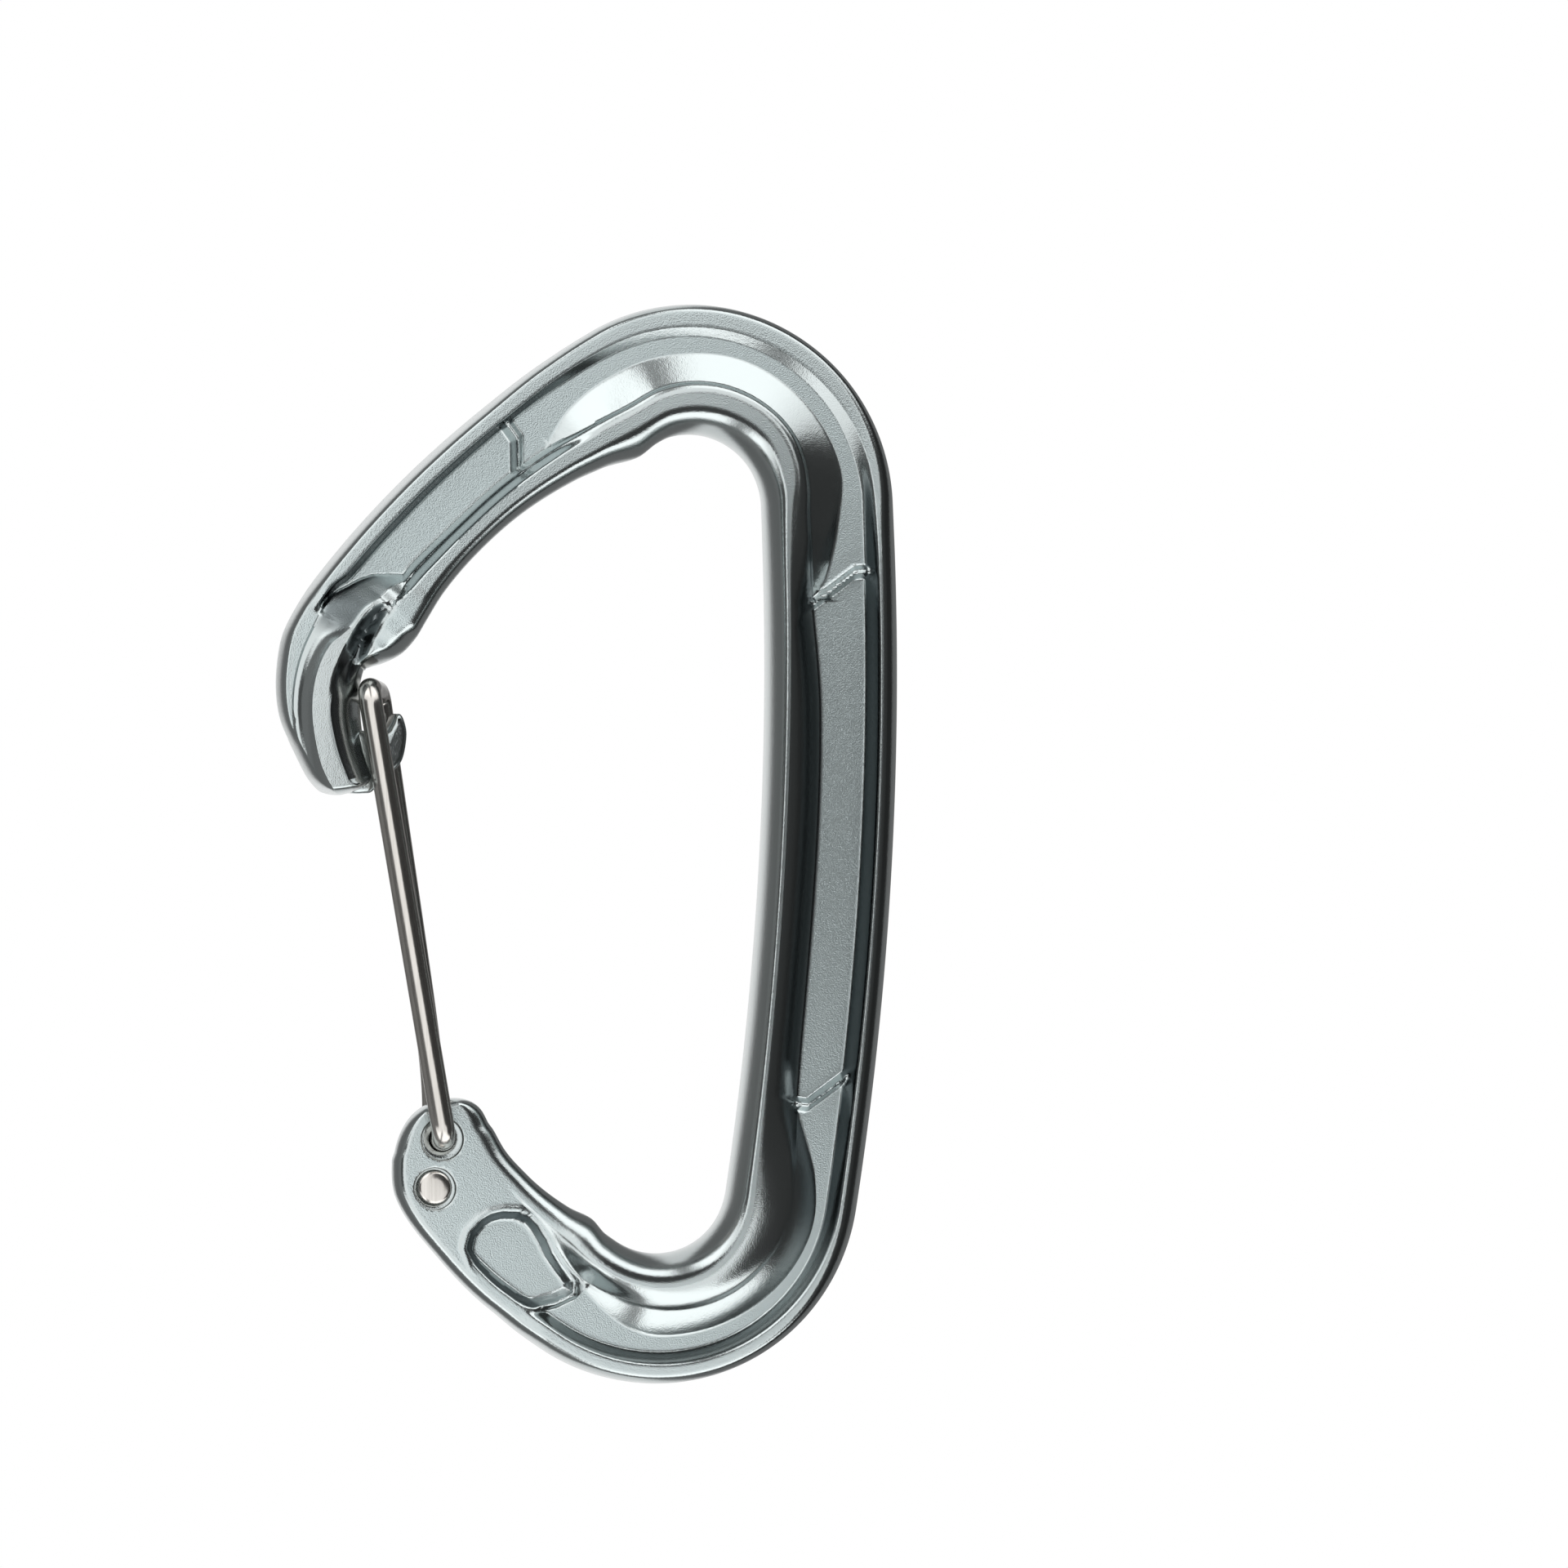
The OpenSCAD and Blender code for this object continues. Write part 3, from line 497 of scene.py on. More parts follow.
def height(q, n):
    """Height of the upper face above the parting plane."""
    row = lines(q)
    crease, bead_outer, _ = bead_lines(q)
    bottom, land = floor_level(q, n, row.foot, crease), FLANGE_TOP(q)
    base = bottom + (land - bottom) * RISE_TO_LAND(q)
    s_wall = ramp(n, row.flange_inner, row.foot)
    straight = np.clip((n - row.flange_inner) / (row.foot - row.flange_inner), 0, 1)
    flange = base + (land - base) * (1 - s_wall - (straight - s_wall) * at_top_basket(q))

    run = scoop_run(q)
    rise = np.minimum(SCOOP_SLOPE * run, SCOOP_RISE)
    scoop = bottom + rise * np.clip((n - crease + run) / np.maximum(run, LEAST_RUN), 0, 1)
    bead_start = np.maximum(scoop, bottom)
    u = np.clip((n - crease) / (bead_outer - crease), 0, 1)
    fall = saddle(q, n)
    bead = bead_start + (BEAD_TOP(q) - fall - bead_start) * bead_wall(q, u) * (n > crease)
    bead = np.where(q < BEAD_END, bead, 0)

    foot = FINGER_FOOT(q)
    v = np.clip((n - foot) / (FINGER_LEFT(q) - foot), 0, 1)
    hollow = (LIP_RISE * ramp(v, 0, LIP)
              + HOLLOW_RISE * np.clip((v - LIP) / (1 - LIP), 0, 1) ** HOLLOW_POWER)
    flank_start = np.maximum(base, bottom + (land - bottom) * FLANK_START(q))
    finger = (base + (flank_start - base) * ramp(n, foot - FOOT_FADE, foot)
              + (FINGER_TOP(q) - fall - flank_start) * (v + (hollow - v) * HOLLOW(q)))
    finger = np.where(q > FINGER_START, finger, 0)

    upper = np.maximum.reduce([flange, base, bead, finger])
    return (upper * rounded(n - row.edge, row.flange_outer - row.edge, FLANGE_POWER(q))
            * rounded(row.inside - n, row.inside - row.bead_inner, BEAD_POWER(q))
            * rounded(from_tip(q), TIP_EDGE) * rounded(from_nose(q), TIP_EDGE))


# ---- the body's mesh

# Distance from one ring to the next along the bar, and the stations between which it is the fine one
STEP, FINE_STEP = 0.27, 0.12
FINE_AROUND = [(1.5, 3.3), (4.08, 4.2), (4.84, 4.93), (6.3, 6.48), (6.8, 7.15), (7.5, 8.1)]
# Rings at the two rounded ends, crowded towards the tips, which start at a small angle
TIP_RINGS, NOSE_RINGS, FIRST_ANGLE = 34, 26, 1.5
# Points between one line along the face and the next, and how they crowd at the two edges
BETWEEN = [12, 4, 11, 12, 12, 12, 12, 16]
CROWDING = 1.8
# How far the nose's end is sheared, in stations per millimetre, and where it starts to be
NOSE_SHEAR, SHEARED = 0.035, (8.4, 8.9)


def stations():
    """Stations of the body's rings, closer together at its ends and beside its small forms."""
    opening = TIP_RUN * (1 - np.cos(np.radians(np.linspace(FIRST_ANGLE, 90, TIP_RINGS))))
    ending = STARTS[-1] - NOSE_RUN * (1 - np.cos(np.radians(np.linspace(90, FIRST_ANGLE, NOSE_RINGS))))
    middle = [opening[-1] + STEP]
    while middle[-1] < ending[0] - STEP:
        q = station(middle[-1])
        fine = any(a <= q <= b for a, b in FINE_AROUND)
        middle.append(middle[-1] + (FINE_STEP if fine else STEP))
    return station(np.concatenate([opening, middle, ending]))


def offsets(q):
    """Offsets of the points on each ring, from its outer to its inner edge."""
    rows = lines(q)
    columns = []
    for j, count in enumerate(BETWEEN):
        share = np.arange(count) / count
        if j == 0:
            share = share ** CROWDING
        if j == len(BETWEEN) - 1:
            share = 1 - (1 - share) ** CROWDING
        columns.append(rows[j] + (rows[j + 1] - rows[j]) * share)
    return np.concatenate(columns + [rows[-1]], axis=1)


def tube_faces(rings, around):
    """Quads between closed rings of points, and a face over each end."""
    quads = [[j * around + k, j * around + (k + 1) % around,
              (j + 1) * around + (k + 1) % around, (j + 1) * around + k]
             for j in range(rings - 1) for k in range(around)]
    return quads + [list(range(around - 1, -1, -1)), [(rings - 1) * around + k for k in range(around)]]


def sweep_body():
    """Points and faces of the body's surface, the matte share at each point, and the share of painted
    shade there.
    """
    q = stations()[:, None]
    n = offsets(q)
    z = height(q, n)
    z[:, 0] = z[:, -1] = 0
    xy = place(q + NOSE_SHEAR * ramp(q, *SHEARED) * n, n)
    centre = (xy.real.min() + xy.real.max()) / 2 + 1j * (xy.imag.min() + xy.imag.max()) / 2
    xy = xy - centre
    upper = np.stack([xy.real, xy.imag, z], axis=-1)
    lower = upper[:, -2:0:-1] * [1, 1, -1]
    rings = np.concatenate([upper, lower], axis=1)
    across, along = np.gradient(n, axis=1), np.gradient(distance(q), axis=0)
    slope = np.hypot(np.gradient(z, axis=1) / across, np.gradient(z, axis=0) / along)
    matte = np.maximum(matte_share(q, n) * (1 - ramp(slope, *STILL_FLAT)), hump_face(q, n))
    # The second share is painted shade, laid on walls, the saddle and the finger's flank
    shares = [matte, skin_share(q, n, slope)]
    matte, skin = (np.concatenate([share, share[:, -2:0:-1]], axis=1).reshape(-1) for share in shares)
    return rings.reshape(-1, 3), tube_faces(*rings.shape[:2]), matte, skin


# ---- where the forging is matte, and where shade is painted on it

# Slopes between which a matte surface becomes a tumbled one, and a wall starts to take painted shade
STILL_FLAT, STEEP = (0.12, 0.45), (0.7, 1.3)
# Share of the matte finish on the lug, the lands of flange and bead, and the land beside the finger
LUG_MATTE, LAND_MATTE, LEDGE_MATTE = 0.9, 0.65, 0.8


def matte_share(q, n):
    """1 where the forging is left matte from blasting, 0 where tumbling has polished it. Beside the lines
    along the face, one finish gives way to the next within a millimetre."""
    row = lines(q)
    web = ramp(n, row.foot - 0.3, row.foot) * (1 - ramp(n, row.crease - 0.3, row.crease))
    in_scoop = ramp(scoop_run(q), 0.1, 0.4) * ramp(n, row.middle - 0.12, row.middle + 0.12)
    web = web * (1 - 0.9 * in_scoop) * (1 - ramp(q, 6.95, 7.1))
    lug = (1 - ramp(q, 2.3, 3.0)) * ramp(n - row.edge, 0.7, 1.3) * ramp(row.inside - n, 1.2, 2.0)
    flange_land = (ramp(n, row.flange_outer - 0.2, row.flange_outer)
                   * (1 - ramp(n, row.flange_inner, row.flange_inner + 0.2)))
    bead_land = (ramp(n, row.bead_outer - 0.2, row.bead_outer + 0.1)
                 * (1 - ramp(n, row.bead_inner - 0.1, row.bead_inner + 0.3)) * (q < 6.9))
    ledge = (ramp(q, 7.6, 7.8) * ramp(n - row.edge, 0.6, 0.9)
             * (1 - ramp(n, row.middle - 0.1, row.middle + 0.2)))
    hook_root = (ramp(q, 6.88, 6.97) * (1 - ramp(q, 7.5, 7.9)) * ramp(n, VALLEY(q), VALLEY(q) + 0.8)
                 * (n < row.bead_inner + 0.3))
    return np.clip(np.maximum.reduce([web, LUG_MATTE * lug, LAND_MATTE * (flange_land + bead_land),
                                      LEDGE_MATTE * ledge, hook_root]), 0, 1)


def hump_face(q, n):
    """1 on the finger's left flank where it rises from the web."""
    foot, left = FINGER_FOOT(q), FINGER_LEFT(q)
    there = ramp(q, 6.9, 6.94) * (1 - ramp(q, 7.5, 7.8))
    return there * ramp(n, foot, foot + 0.4) * (1 - ramp(n, left - 0.2, left))


# How dark the painted shade is on the flange's wall and on the finger's left flank
FLANGE_PAINTED_SHADE = eased([
    (0, 0), (2.75, 0), (3.0, 0.3), (3.7, 0.3), (4.0, 1), (5.0, 1), (5.2, 0), (6.1, 0), (6.35, 1),
    (7.6, 1), (7.7, 0), (9, 0),
])
HUMP_PAINTED_SHADE = eased([(0, 0), (6.95, 0), (7.1, 0.5), (7.3, 0.8), (7.65, 0.8), (8.0, 0), (9, 0)])
# How dark the painted shade is in the saddle, how much less so at the nose's end, and how much less of it
# the wall of the recess that faces the outer edge takes
SADDLE_PAINTED_SHADE, END_LESS_SHADE, RECESS_LESS_SHADE = 0.85, 0.4, 0.75


def skin_share(q, n, slope):
    """1 where shade is painted: on the pockets' steep walls, in the saddle and on the finger's left
    flank, darkened as shade and dark reflections would darken them.
    """
    row = lines(q)
    flange = FLANGE_PAINTED_SHADE(q) * (n > row.flange_inner) * (n < row.foot + 0.1)
    bead = (ramp(q, 3.9, 4.1) - ramp(q, 4.9, 5.1)) * (n > row.crease - 0.1) * (n < row.bead_inner)
    depth = recess_depth(q, n)
    # The recess's wall that faces the outer edge takes less painted shade
    unshaded = RECESS_LESS_SHADE * ramp(q, 1.75, 2.1) * ramp(n, -3.2, -2.8)
    recess = (depth > -0.1) * (depth < RECESS_WALL + 0.1) * (1 - unshaded) * (q < WEB_START)
    walls = np.maximum.reduce([flange, bead, recess]) * ramp(slope, *STEEP)
    # Painted shade in the saddle, with less of it at the nose's end
    flank = ramp(q, 7.02, 7.1) * ramp(n, SADDLE(q), SADDLE(q) + 0.2)
    flank = ((SADDLE_PAINTED_SHADE - END_LESS_SHADE * ramp(q, 8.1, 8.3)) * flank
             * (1 - ramp(n, SADDLE_SHADE_SIDE(q) - 0.3, SADDLE_SHADE_SIDE(q) + 0.2)))
    foot, left = FINGER_FOOT(q), FINGER_LEFT(q)
    hump = HUMP_PAINTED_SHADE(q) * ramp(n, foot, foot + 0.5) * (1 - ramp(n, left - 0.3, left))
    return np.clip(np.maximum.reduce([walls, flank, hump]), 0, 1)


# ---- meshes

def make_mesh(name, points, faces, **attributes):
    """Object with a smooth-shaded mesh from points in millimetres."""
    mesh = bpy.data.meshes.new(name)
    mesh.from_pydata((np.asarray(points) * MM).tolist(), [], faces)
    for label, values in attributes.items():
        layer = mesh.attributes.new(label, "FLOAT", "POINT")
        layer.data.foreach_set("value", np.asarray(values, np.float32))
    mesh.shade_smooth()
    mesh.update()
    piece = bpy.data.objects.new(name, mesh)
    bpy.context.scene.collection.objects.link(piece)
    return piece


def combine(piece, tool, operation):
    """Join a tool to a piece or cut it out, and remove the tool."""
    modifier = piece.modifiers.new(operation.lower(), "BOOLEAN")
    modifier.operation = operation
    modifier.solver = "MANIFOLD"
    modifier.object = tool
    bpy.context.view_layer.update()
    evaluated = piece.evaluated_get(bpy.context.evaluated_depsgraph_get())
    mesh = bpy.data.meshes.new_from_object(evaluated)
    piece.modifiers.remove(modifier)
    piece.data = mesh
    bpy.data.objects.remove(tool)


# ---- places that the body and the gate share

JOINTS = {joint["name"]: joint for joint in frame["joints"]}
# Radius of the wire and of its bends, height of its legs' middles, and its peened heads
WIRE, BEND, LEG_Z = 2.05 / 2, 1.4, 7.1 / 2
HEAD, HEAD_HEIGHT = 2.95 / 2, 0.7
# Clearances round the wire in the rear hole, where it moves, and in the front hole
FLEX_CLEARANCE, PIVOT_CLEARANCE = 0.34, 0.08
# Counterbores: depth, chamfer at the bore, broken edge at the rim, and how far the drill reaches out
COUNTERBORE_DEPTH, BORE_CHAMFER, BROKEN_RIM, DRILL_REACH = 0.5, 0.1, 0.12, 1.5
PIVOT_A = np.array(JOINTS["gate"]["pos_m"][:2]) / MM
CROSSBAR = np.array(JOINTS["gate_wire_twist"]["pos_m"][:2]) / MM
# Distance and direction from the front pivot to the rear one
PIVOT_PITCH, PIVOT_DIRECTION = 4.4, math.radians(-98.7)
PIVOT_B = PIVOT_A + PIVOT_PITCH * np.array([math.cos(PIVOT_DIRECTION), math.sin(PIVOT_DIRECTION)])


def lathe(name, profile, at, sides=64):
    """Solid turned about the z axis from [radius, z] points, closed at both ends, at a place."""
    angle = np.arange(sides) * 2 * math.pi / sides
    points = [[at[0] + r * math.cos(a), at[1] + r * math.sin(a), z] for r, z in profile for a in angle]
    return make_mesh(name, points, tube_faces(len(profile), sides))


def drill(body, centre, bore):
    """Pivot hole through the lug, with a counterbore in each face whose rim is slightly broken."""
    wide, floor = HEAD + FLEX_CLEARANCE, LUG_TOP - COUNTERBORE_DEPTH
    half = [(bore, 0), (bore, floor - BORE_CHAMFER), (bore + BORE_CHAMFER, floor), (wide, floor),
            (wide, LUG_TOP - BROKEN_RIM), (wide + BROKEN_RIM, LUG_TOP + 0.01),
            (wide + BROKEN_RIM, LUG_TOP + DRILL_REACH)]
    profile = [(r, -z) for r, z in half[:0:-1]] + half[1:]
    combine(body, lathe("drill", profile, centre), "DIFFERENCE")


def smooth_outline(corners, per_side):
    """Closed Catmull-Rom curve through corners, as an array of points."""
    p = np.array(corners, float)
    out = []
    for k in range(len(p)):
        a, b, c, d = p[k - 1], p[k], p[(k + 1) % len(p)], p[(k + 2) % len(p)]
        for t in np.arange(per_side) / per_side:
            out.append(0.5 * (2 * b + (c - a) * t + (2 * a - 5 * b + 4 * c - d) * t * t
                              + (3 * b - a - 3 * c + d) * t ** 3))
    return np.array(out)


# The hook: half its thickness, how far it reaches and drops from the crossbar, the depth of its seat, and
# the radius of its edges
HOOK_HALF, HOOK_REACH, HOOK_DROP, HOOK_SEAT, HOOK_EDGE = 3.7 / 2, 2.9, 2.2, 1.7, 0.5


def add_hook(body):
    """Hook of the nose, with rounded edges, that reaches between the legs of the gate."""
    seat, reach, drop = HOOK_DROP + HOOK_SEAT, HOOK_REACH, HOOK_DROP
    outline = smooth_outline([
        (-2.8, -seat), (reach - 2.2, -seat), (reach - 1.4, -seat + 0.6), (reach - 1, -drop - 0.2),
        (reach - 0.75, -drop), (reach - 0.4, -drop - 0.1), (reach - 0.1, -drop - 0.7),
        (reach + 0.1, -drop - 1.8), (reach - 0.1, -drop - 3.4), (reach - 0.5, -drop - 4.4),
        (reach - 1.4, -drop - 5.3), (0.3, -drop - 6.5), (-0.6, -drop - 7), (-2.6, -drop - 6.4),
    ], 6)
    side = np.roll(outline, -1, axis=0) - np.roll(outline, 1, axis=0)
    inward = np.stack([-side[:, 1], side[:, 0]], axis=1) / np.linalg.norm(side, axis=1)[:, None]
    area = np.sum(outline[:, 0] * np.roll(outline[:, 1], -1) - outline[:, 1] * np.roll(outline[:, 0], -1))
    inward *= math.copysign(1, area)
    turns = np.radians(np.linspace(0, 90, 9))
    levels = [(HOOK_EDGE * (1 - math.sin(a)), -HOOK_HALF + HOOK_EDGE * (1 - math.cos(a))) for a in turns]
    levels += [(inset, -z) for inset, z in levels[::-1]]
    points = [[*(CROSSBAR + p + v * inset), z] for inset, z in levels for p, v in zip(outline, inward)]
    combine(body, make_mesh("hook", points, tube_faces(len(levels), len(outline))), "UNION")


# Angle between two faces from which their edge looks sharp
SHARP = math.radians(50)


def make_body():
    """The forged body, kept inside the box of the CAD body, with its hook and its two pivot holes."""
    points, faces, matte, skin = sweep_body()
    limit = np.array(CAD_BOX[1]) / MM
    points = points * np.minimum(1, limit / np.abs(points).max(axis=0))
    # The second attribute is painted shade: walls and the saddle darkened as shade and dark reflections
    # would darken them
    body = make_mesh("forged_body", points, faces, matte=matte, skin=skin)
    add_hook(body)
    drill(body, PIVOT_A, WIRE + PIVOT_CLEARANCE)
    drill(body, PIVOT_B, WIRE + FLEX_CLEARANCE)
    body.data.shade_smooth()
    body.data.set_sharp_from_angle(angle=SHARP)
    body.data.materials.clear()
    body.data.materials.append(forged_alloy())
    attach(body, "carabiner_body")
    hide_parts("body")


# ---- the gate's wire

def unit(vector):
    """Vector of length 1 in the same direction."""
    return vector / np.linalg.norm(vector)


def straight(a, b, count):
    """Points from a to b, with both."""
    return [a + (b - a) * t for t in np.linspace(0, 1, count)]


def corner(before, at, after, radius):
    """Points of an arc that rounds the corner between two straight runs of wire."""
    u, v = unit(before - at), unit(after - at)
    half = math.acos(float(u @ v)) / 2
    centre = at + unit(u + v) * radius / math.sin(half)
    first, last = at + u * radius / math.tan(half) - centre, at + v * radius / math.tan(half) - centre
    turn = math.pi - 2 * half
    return [centre + (first * math.sin(turn * (1 - t)) + last * math.sin(turn * t)) / math.sin(turn)
            for t in np.linspace(0, 1, BEND_POINTS)]


# Points round the wire, along a bend, a leg, an end in its hole and the crossbar
WIRE_SIDES, BEND_POINTS, LEG_POINTS, PIN_POINTS, BAR_POINTS = 32, 14, 60, 9, 15
# Gaps between the two halves of the wire and under its heads
HALVES_GAP, HEAD_GAP = 0.02, 0.05
# Outline of a peened head, as radius and height, from the wire's surface round the rim to the middle
HEAD_PROFILE = [
    (WIRE, 0), (HEAD - 0.12, 0), (HEAD, 0.12), (HEAD, HEAD_HEIGHT - 0.3),
    (HEAD - 0.08, HEAD_HEIGHT - 0.12), (HEAD - 0.3, HEAD_HEIGHT - 0.03), (HEAD * 0.5, HEAD_HEIGHT),
    (0.05, HEAD_HEIGHT),
]
# Length of the rear leg, whose end sits a little off the middle of its hole
REAR_LEG = 44.0984
REAR_END = CROSSBAR + (PIVOT_B - CROSSBAR) * REAR_LEG / np.linalg.norm(PIVOT_B - CROSSBAR)
# The sprung wire sits askew: the two ends of the crossbar, and how far the rear leg bows by its share
NEAR_END, FAR_END = np.array([-0.72, 0.0]), np.array([1.3, -0.4])
REAR_BOW = ((0, 0.17, 0.32, 0.45, 0.64, 0.78, 0.88, 0.95, 1),
            (0, 0.36, 0.7, 1.01, 1.44, 1.66, 1.4, 0.75, 0))
BOW_SMOOTHING = 12


def wire_route():
    """Middle line of the wire from its front end round the crossbar to its rear end, in millimetres."""
    stub = LUG_TOP - COUNTERBORE_DEPTH + HEAD_GAP
    near, far = CROSSBAR + NEAR_END, CROSSBAR + FAR_END
    share = np.linspace(0, 1, LEG_POINTS)[:, None]
    side = unit(np.array([(far - REAR_END)[1], -(far - REAR_END)[0]]))
    bow = np.interp(share, *REAR_BOW)
    for _ in range(BOW_SMOOTHING):
        bow[1:-1] = (bow[:-2] + 2 * bow[1:-1] + bow[2:]) / 4
    rear_leg = far + (REAR_END - far) * share + side * bow
    front_leg = PIVOT_A + (near - PIVOT_A) * share
    front = [np.array([*p, LEG_Z]) for p in front_leg]
    rear = [np.array([*p, -LEG_Z]) for p in rear_leg]
    start, end = np.array([*PIVOT_A, -stub]), np.array([*REAR_END, stub])
    front_bend = corner(start, front[0], front[3], BEND)
    near_bend = corner(front[-4], front[-1], rear[0], BEND)
    far_bend = corner(front[-1], rear[0], rear[3], BEND)
    rear_bend = corner(rear[-3], rear[-1], end, BEND)
    front_pin = straight(start, front_bend[0], PIN_POINTS)[:-1]
    bar = straight(near_bend[-1], far_bend[0], BAR_POINTS)[1:-1]
    rear_pin = straight(rear_bend[-1], end, PIN_POINTS)[1:]
    return np.array(front_pin + front_bend + front[4:-4] + near_bend + bar + far_bend + rear[4:-4]
                    + rear_bend + rear_pin)


def wire_rings():
    """Rings of points round the wire from end to end, with a peened head at each end."""
    route = wire_route()
    tangent = np.gradient(route, axis=0)
    tangent /= np.linalg.norm(tangent, axis=1)[:, None]
    across = unit(np.array([-(PIVOT_A - CROSSBAR)[1], (PIVOT_A - CROSSBAR)[0], 0.0]))
    side = across - tangent * (tangent @ across)[:, None]
    side /= np.linalg.norm(side, axis=1)[:, None]
    up = np.cross(tangent, side)
    angle = np.arange(WIRE_SIDES) * 2 * math.pi / WIRE_SIDES
    ring = np.cos(angle)[None, :, None] * side[:, None] + np.sin(angle)[None, :, None] * up[:, None]
    rings = route[:, None] + WIRE * ring
    first, last = (
        np.array([route[end] + sign * tangent[end] * z + r * ring[end] for r, z in HEAD_PROFILE])
        for end, sign in ((0, -1), (-1, 1)))
    return np.concatenate([first[::-1], rings, last])


def half_wire(name, rings, steel, body, node):
    """One half of the wire, closed at both ends, that turns with a body of the gate."""
    wire = make_mesh(name, rings.reshape(-1, 3), tube_faces(len(rings), WIRE_SIDES))
    wire.data.set_sharp_from_angle(angle=SHARP)
    wire.data.materials.append(steel)
    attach(wire, body)
    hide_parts(node)


def make_wire():
    """The two halves of the wire, which turn on each other in the middle of the crossbar."""
    rings = wire_rings()
    middle = np.argmin(np.linalg.norm(rings.mean(axis=1) - [*CROSSBAR, 0], axis=1))
    front, rear = rings[:middle + 1].copy(), rings[middle:].copy()
    front[-1, :, 2] += HALVES_GAP / 2
    rear[0, :, 2] -= HALVES_GAP / 2
    steel = stainless_wire()
    half_wire("front_wire", front, steel, "gate_front", "gate_wire_front")
    half_wire("rear_wire", rear, steel, "gate_rear", "gate_wire_rear")


# ---- nodes of materials and of the surround

def plug(tree, node, inputs):
    """Set a node's inputs to values, or link sockets to them."""
    for name, value in inputs.items():
        if isinstance(value, bpy.types.NodeSocket):
            tree.links.new(value, node.inputs[name])
        else:
            node.inputs[name].default_value = value


def add_node(tree, kind, inputs=(), **settings):
    """New shader node with its settings, and its inputs by name or by number."""
    node = tree.nodes.new("ShaderNode" + kind)
    for name, value in settings.items():
        setattr(node, name, value)
    plug(tree, node, dict(inputs))
    return node


def math_node(tree, operation, *values):
    """Result of an operation on values or sockets."""
    return add_node(tree, "Math", enumerate(values), operation=operation).outputs[0]


def spread(tree, value, low, high, start=0.0, end=1.0, kind="SMOOTHSTEP"):
    """Socket that goes from start to end as a value passes from low to high."""
    inputs = {"Value": value, "From Min": low, "From Max": high, "To Min": start, "To Max": end}
    return add_node(tree, "MapRange", inputs, interpolation_type=kind).outputs["Result"]


def mixed(tree, factor, a, b):
    """Colour on the way from a to b."""
    inputs = {"Factor": factor, "A": a, "B": b}
    return add_node(tree, "Mix", inputs, data_type="RGBA").outputs["Result"]


def new_material(name):
    """A material, its node tree and its shader."""
    material = bpy.data.materials.new(name)
    material.use_nodes = True
    return material, material.node_tree, material.node_tree.nodes["Principled BSDF"]


# ---- materials

# The third colour is painted shade, laid on walls, the saddle and the finger's flank
TUMBLED, BLASTED, PAINTED_SHADE_TONE = (0.47, 0.51, 0.51, 1), (0.50, 0.565, 0.57, 1), (0.09, 0.105, 0.11, 1)
ROUGH_TUMBLED, ROUGH_BLASTED = 0.17, 0.42
STEEL, STEEL_STREAK, ROUGH_STEEL = (0.46, 0.44, 0.41, 1), (0.66, 0.64, 0.61, 1), 0.2
# Noises: how fine they are per metre, and their detail
GRAIN, PEEL = {"Scale": 9000, "Detail": 1}, {"Scale": 2200, "Detail": 2}
# How strongly the grain shows on tumbled and on blasted metal, and the heights of all three in metres
GRAIN_TUMBLED, GRAIN_BLASTED, GRAIN_HEIGHT = 0.15, 0.7, 0.00006
PEEL_STRENGTH, PEEL_HEIGHT = 0.08, 0.0001
STREAK_STRENGTH, STREAK_HEIGHT = 0.12, 0.00003
# Direction of the wire, and how fine its streaks are across and along it
STREAK_TURN, STREAK_SCALE = math.radians(-9.5), (5000, 160, 5000)


def forged_alloy():
    """Grey-green anodised forging: satin where tumbled, matte and sparkling where only blasted, and with
    painted shade darkening its walls, its saddle and the finger's flank."""
    material, tree, shader = new_material("forged_alloy")
    place = add_node(tree, "TexCoord").outputs["Object"]
    matte, skin = (add_node(tree, "Attribute", attribute_name=name).outputs["Fac"]
                   for name in ("matte", "skin"))
    grain, peel = (add_node(tree, "TexNoise", {"Vector": place, **noise}).outputs["Fac"]
                   for noise in (GRAIN, PEEL))
    strength = spread(tree, matte, 0.0, 1.0, GRAIN_TUMBLED, GRAIN_BLASTED, "LINEAR")
    fine = add_node(tree, "Bump", {
        "Strength": strength, "Distance": GRAIN_HEIGHT, "Height": grain}).outputs["Normal"]
    soft = add_node(tree, "Bump", {
        "Strength": PEEL_STRENGTH, "Distance": PEEL_HEIGHT, "Height": peel, "Normal": fine})
    plug(tree, shader, {
        "Metallic": 1.0, "Normal": soft.outputs["Normal"],
        "Base Color": mixed(tree, skin, mixed(tree, matte, TUMBLED, BLASTED), PAINTED_SHADE_TONE),
        "Roughness": spread(tree, matte, 0.0, 1.0, ROUGH_TUMBLED, ROUGH_BLASTED, "LINEAR"),
    })
    return material


def stainless_wire():
    """Drawn stainless wire, with faint streaks along it."""
    material, tree, shader = new_material("gate_wire")
    place = add_node(tree, "TexCoord").outputs["Object"]
    stretch = add_node(tree, "Mapping", {
        "Vector": place, "Rotation": (0, 0, STREAK_TURN), "Scale": STREAK_SCALE}).outputs["Vector"]
    streaks = add_node(tree, "TexNoise", {"Vector": stretch, "Scale": 1}).outputs["Fac"]
    bump = add_node(tree, "Bump", {
        "Strength": STREAK_STRENGTH, "Distance": STREAK_HEIGHT, "Height": streaks})
    plug(tree, shader, {
        "Metallic": 1.0, "Roughness": ROUGH_STEEL, "Normal": bump.outputs["Normal"],
        "Base Color": mixed(tree, streaks, STEEL, STEEL_STREAK),
    })
    return material


# ---- studio, in metres

# The camera stands far off, turned about the object's long axis
YAW = math.radians(10)
CAMERA_DISTANCE, SENSOR, CLIP_END = 2.0, 36, 20
# Width that it sees at the object, and the middle of its view, to the right and up from the origin
FRAME_WIDTH, AIM = 0.13783, (0.01722, 0.00528)


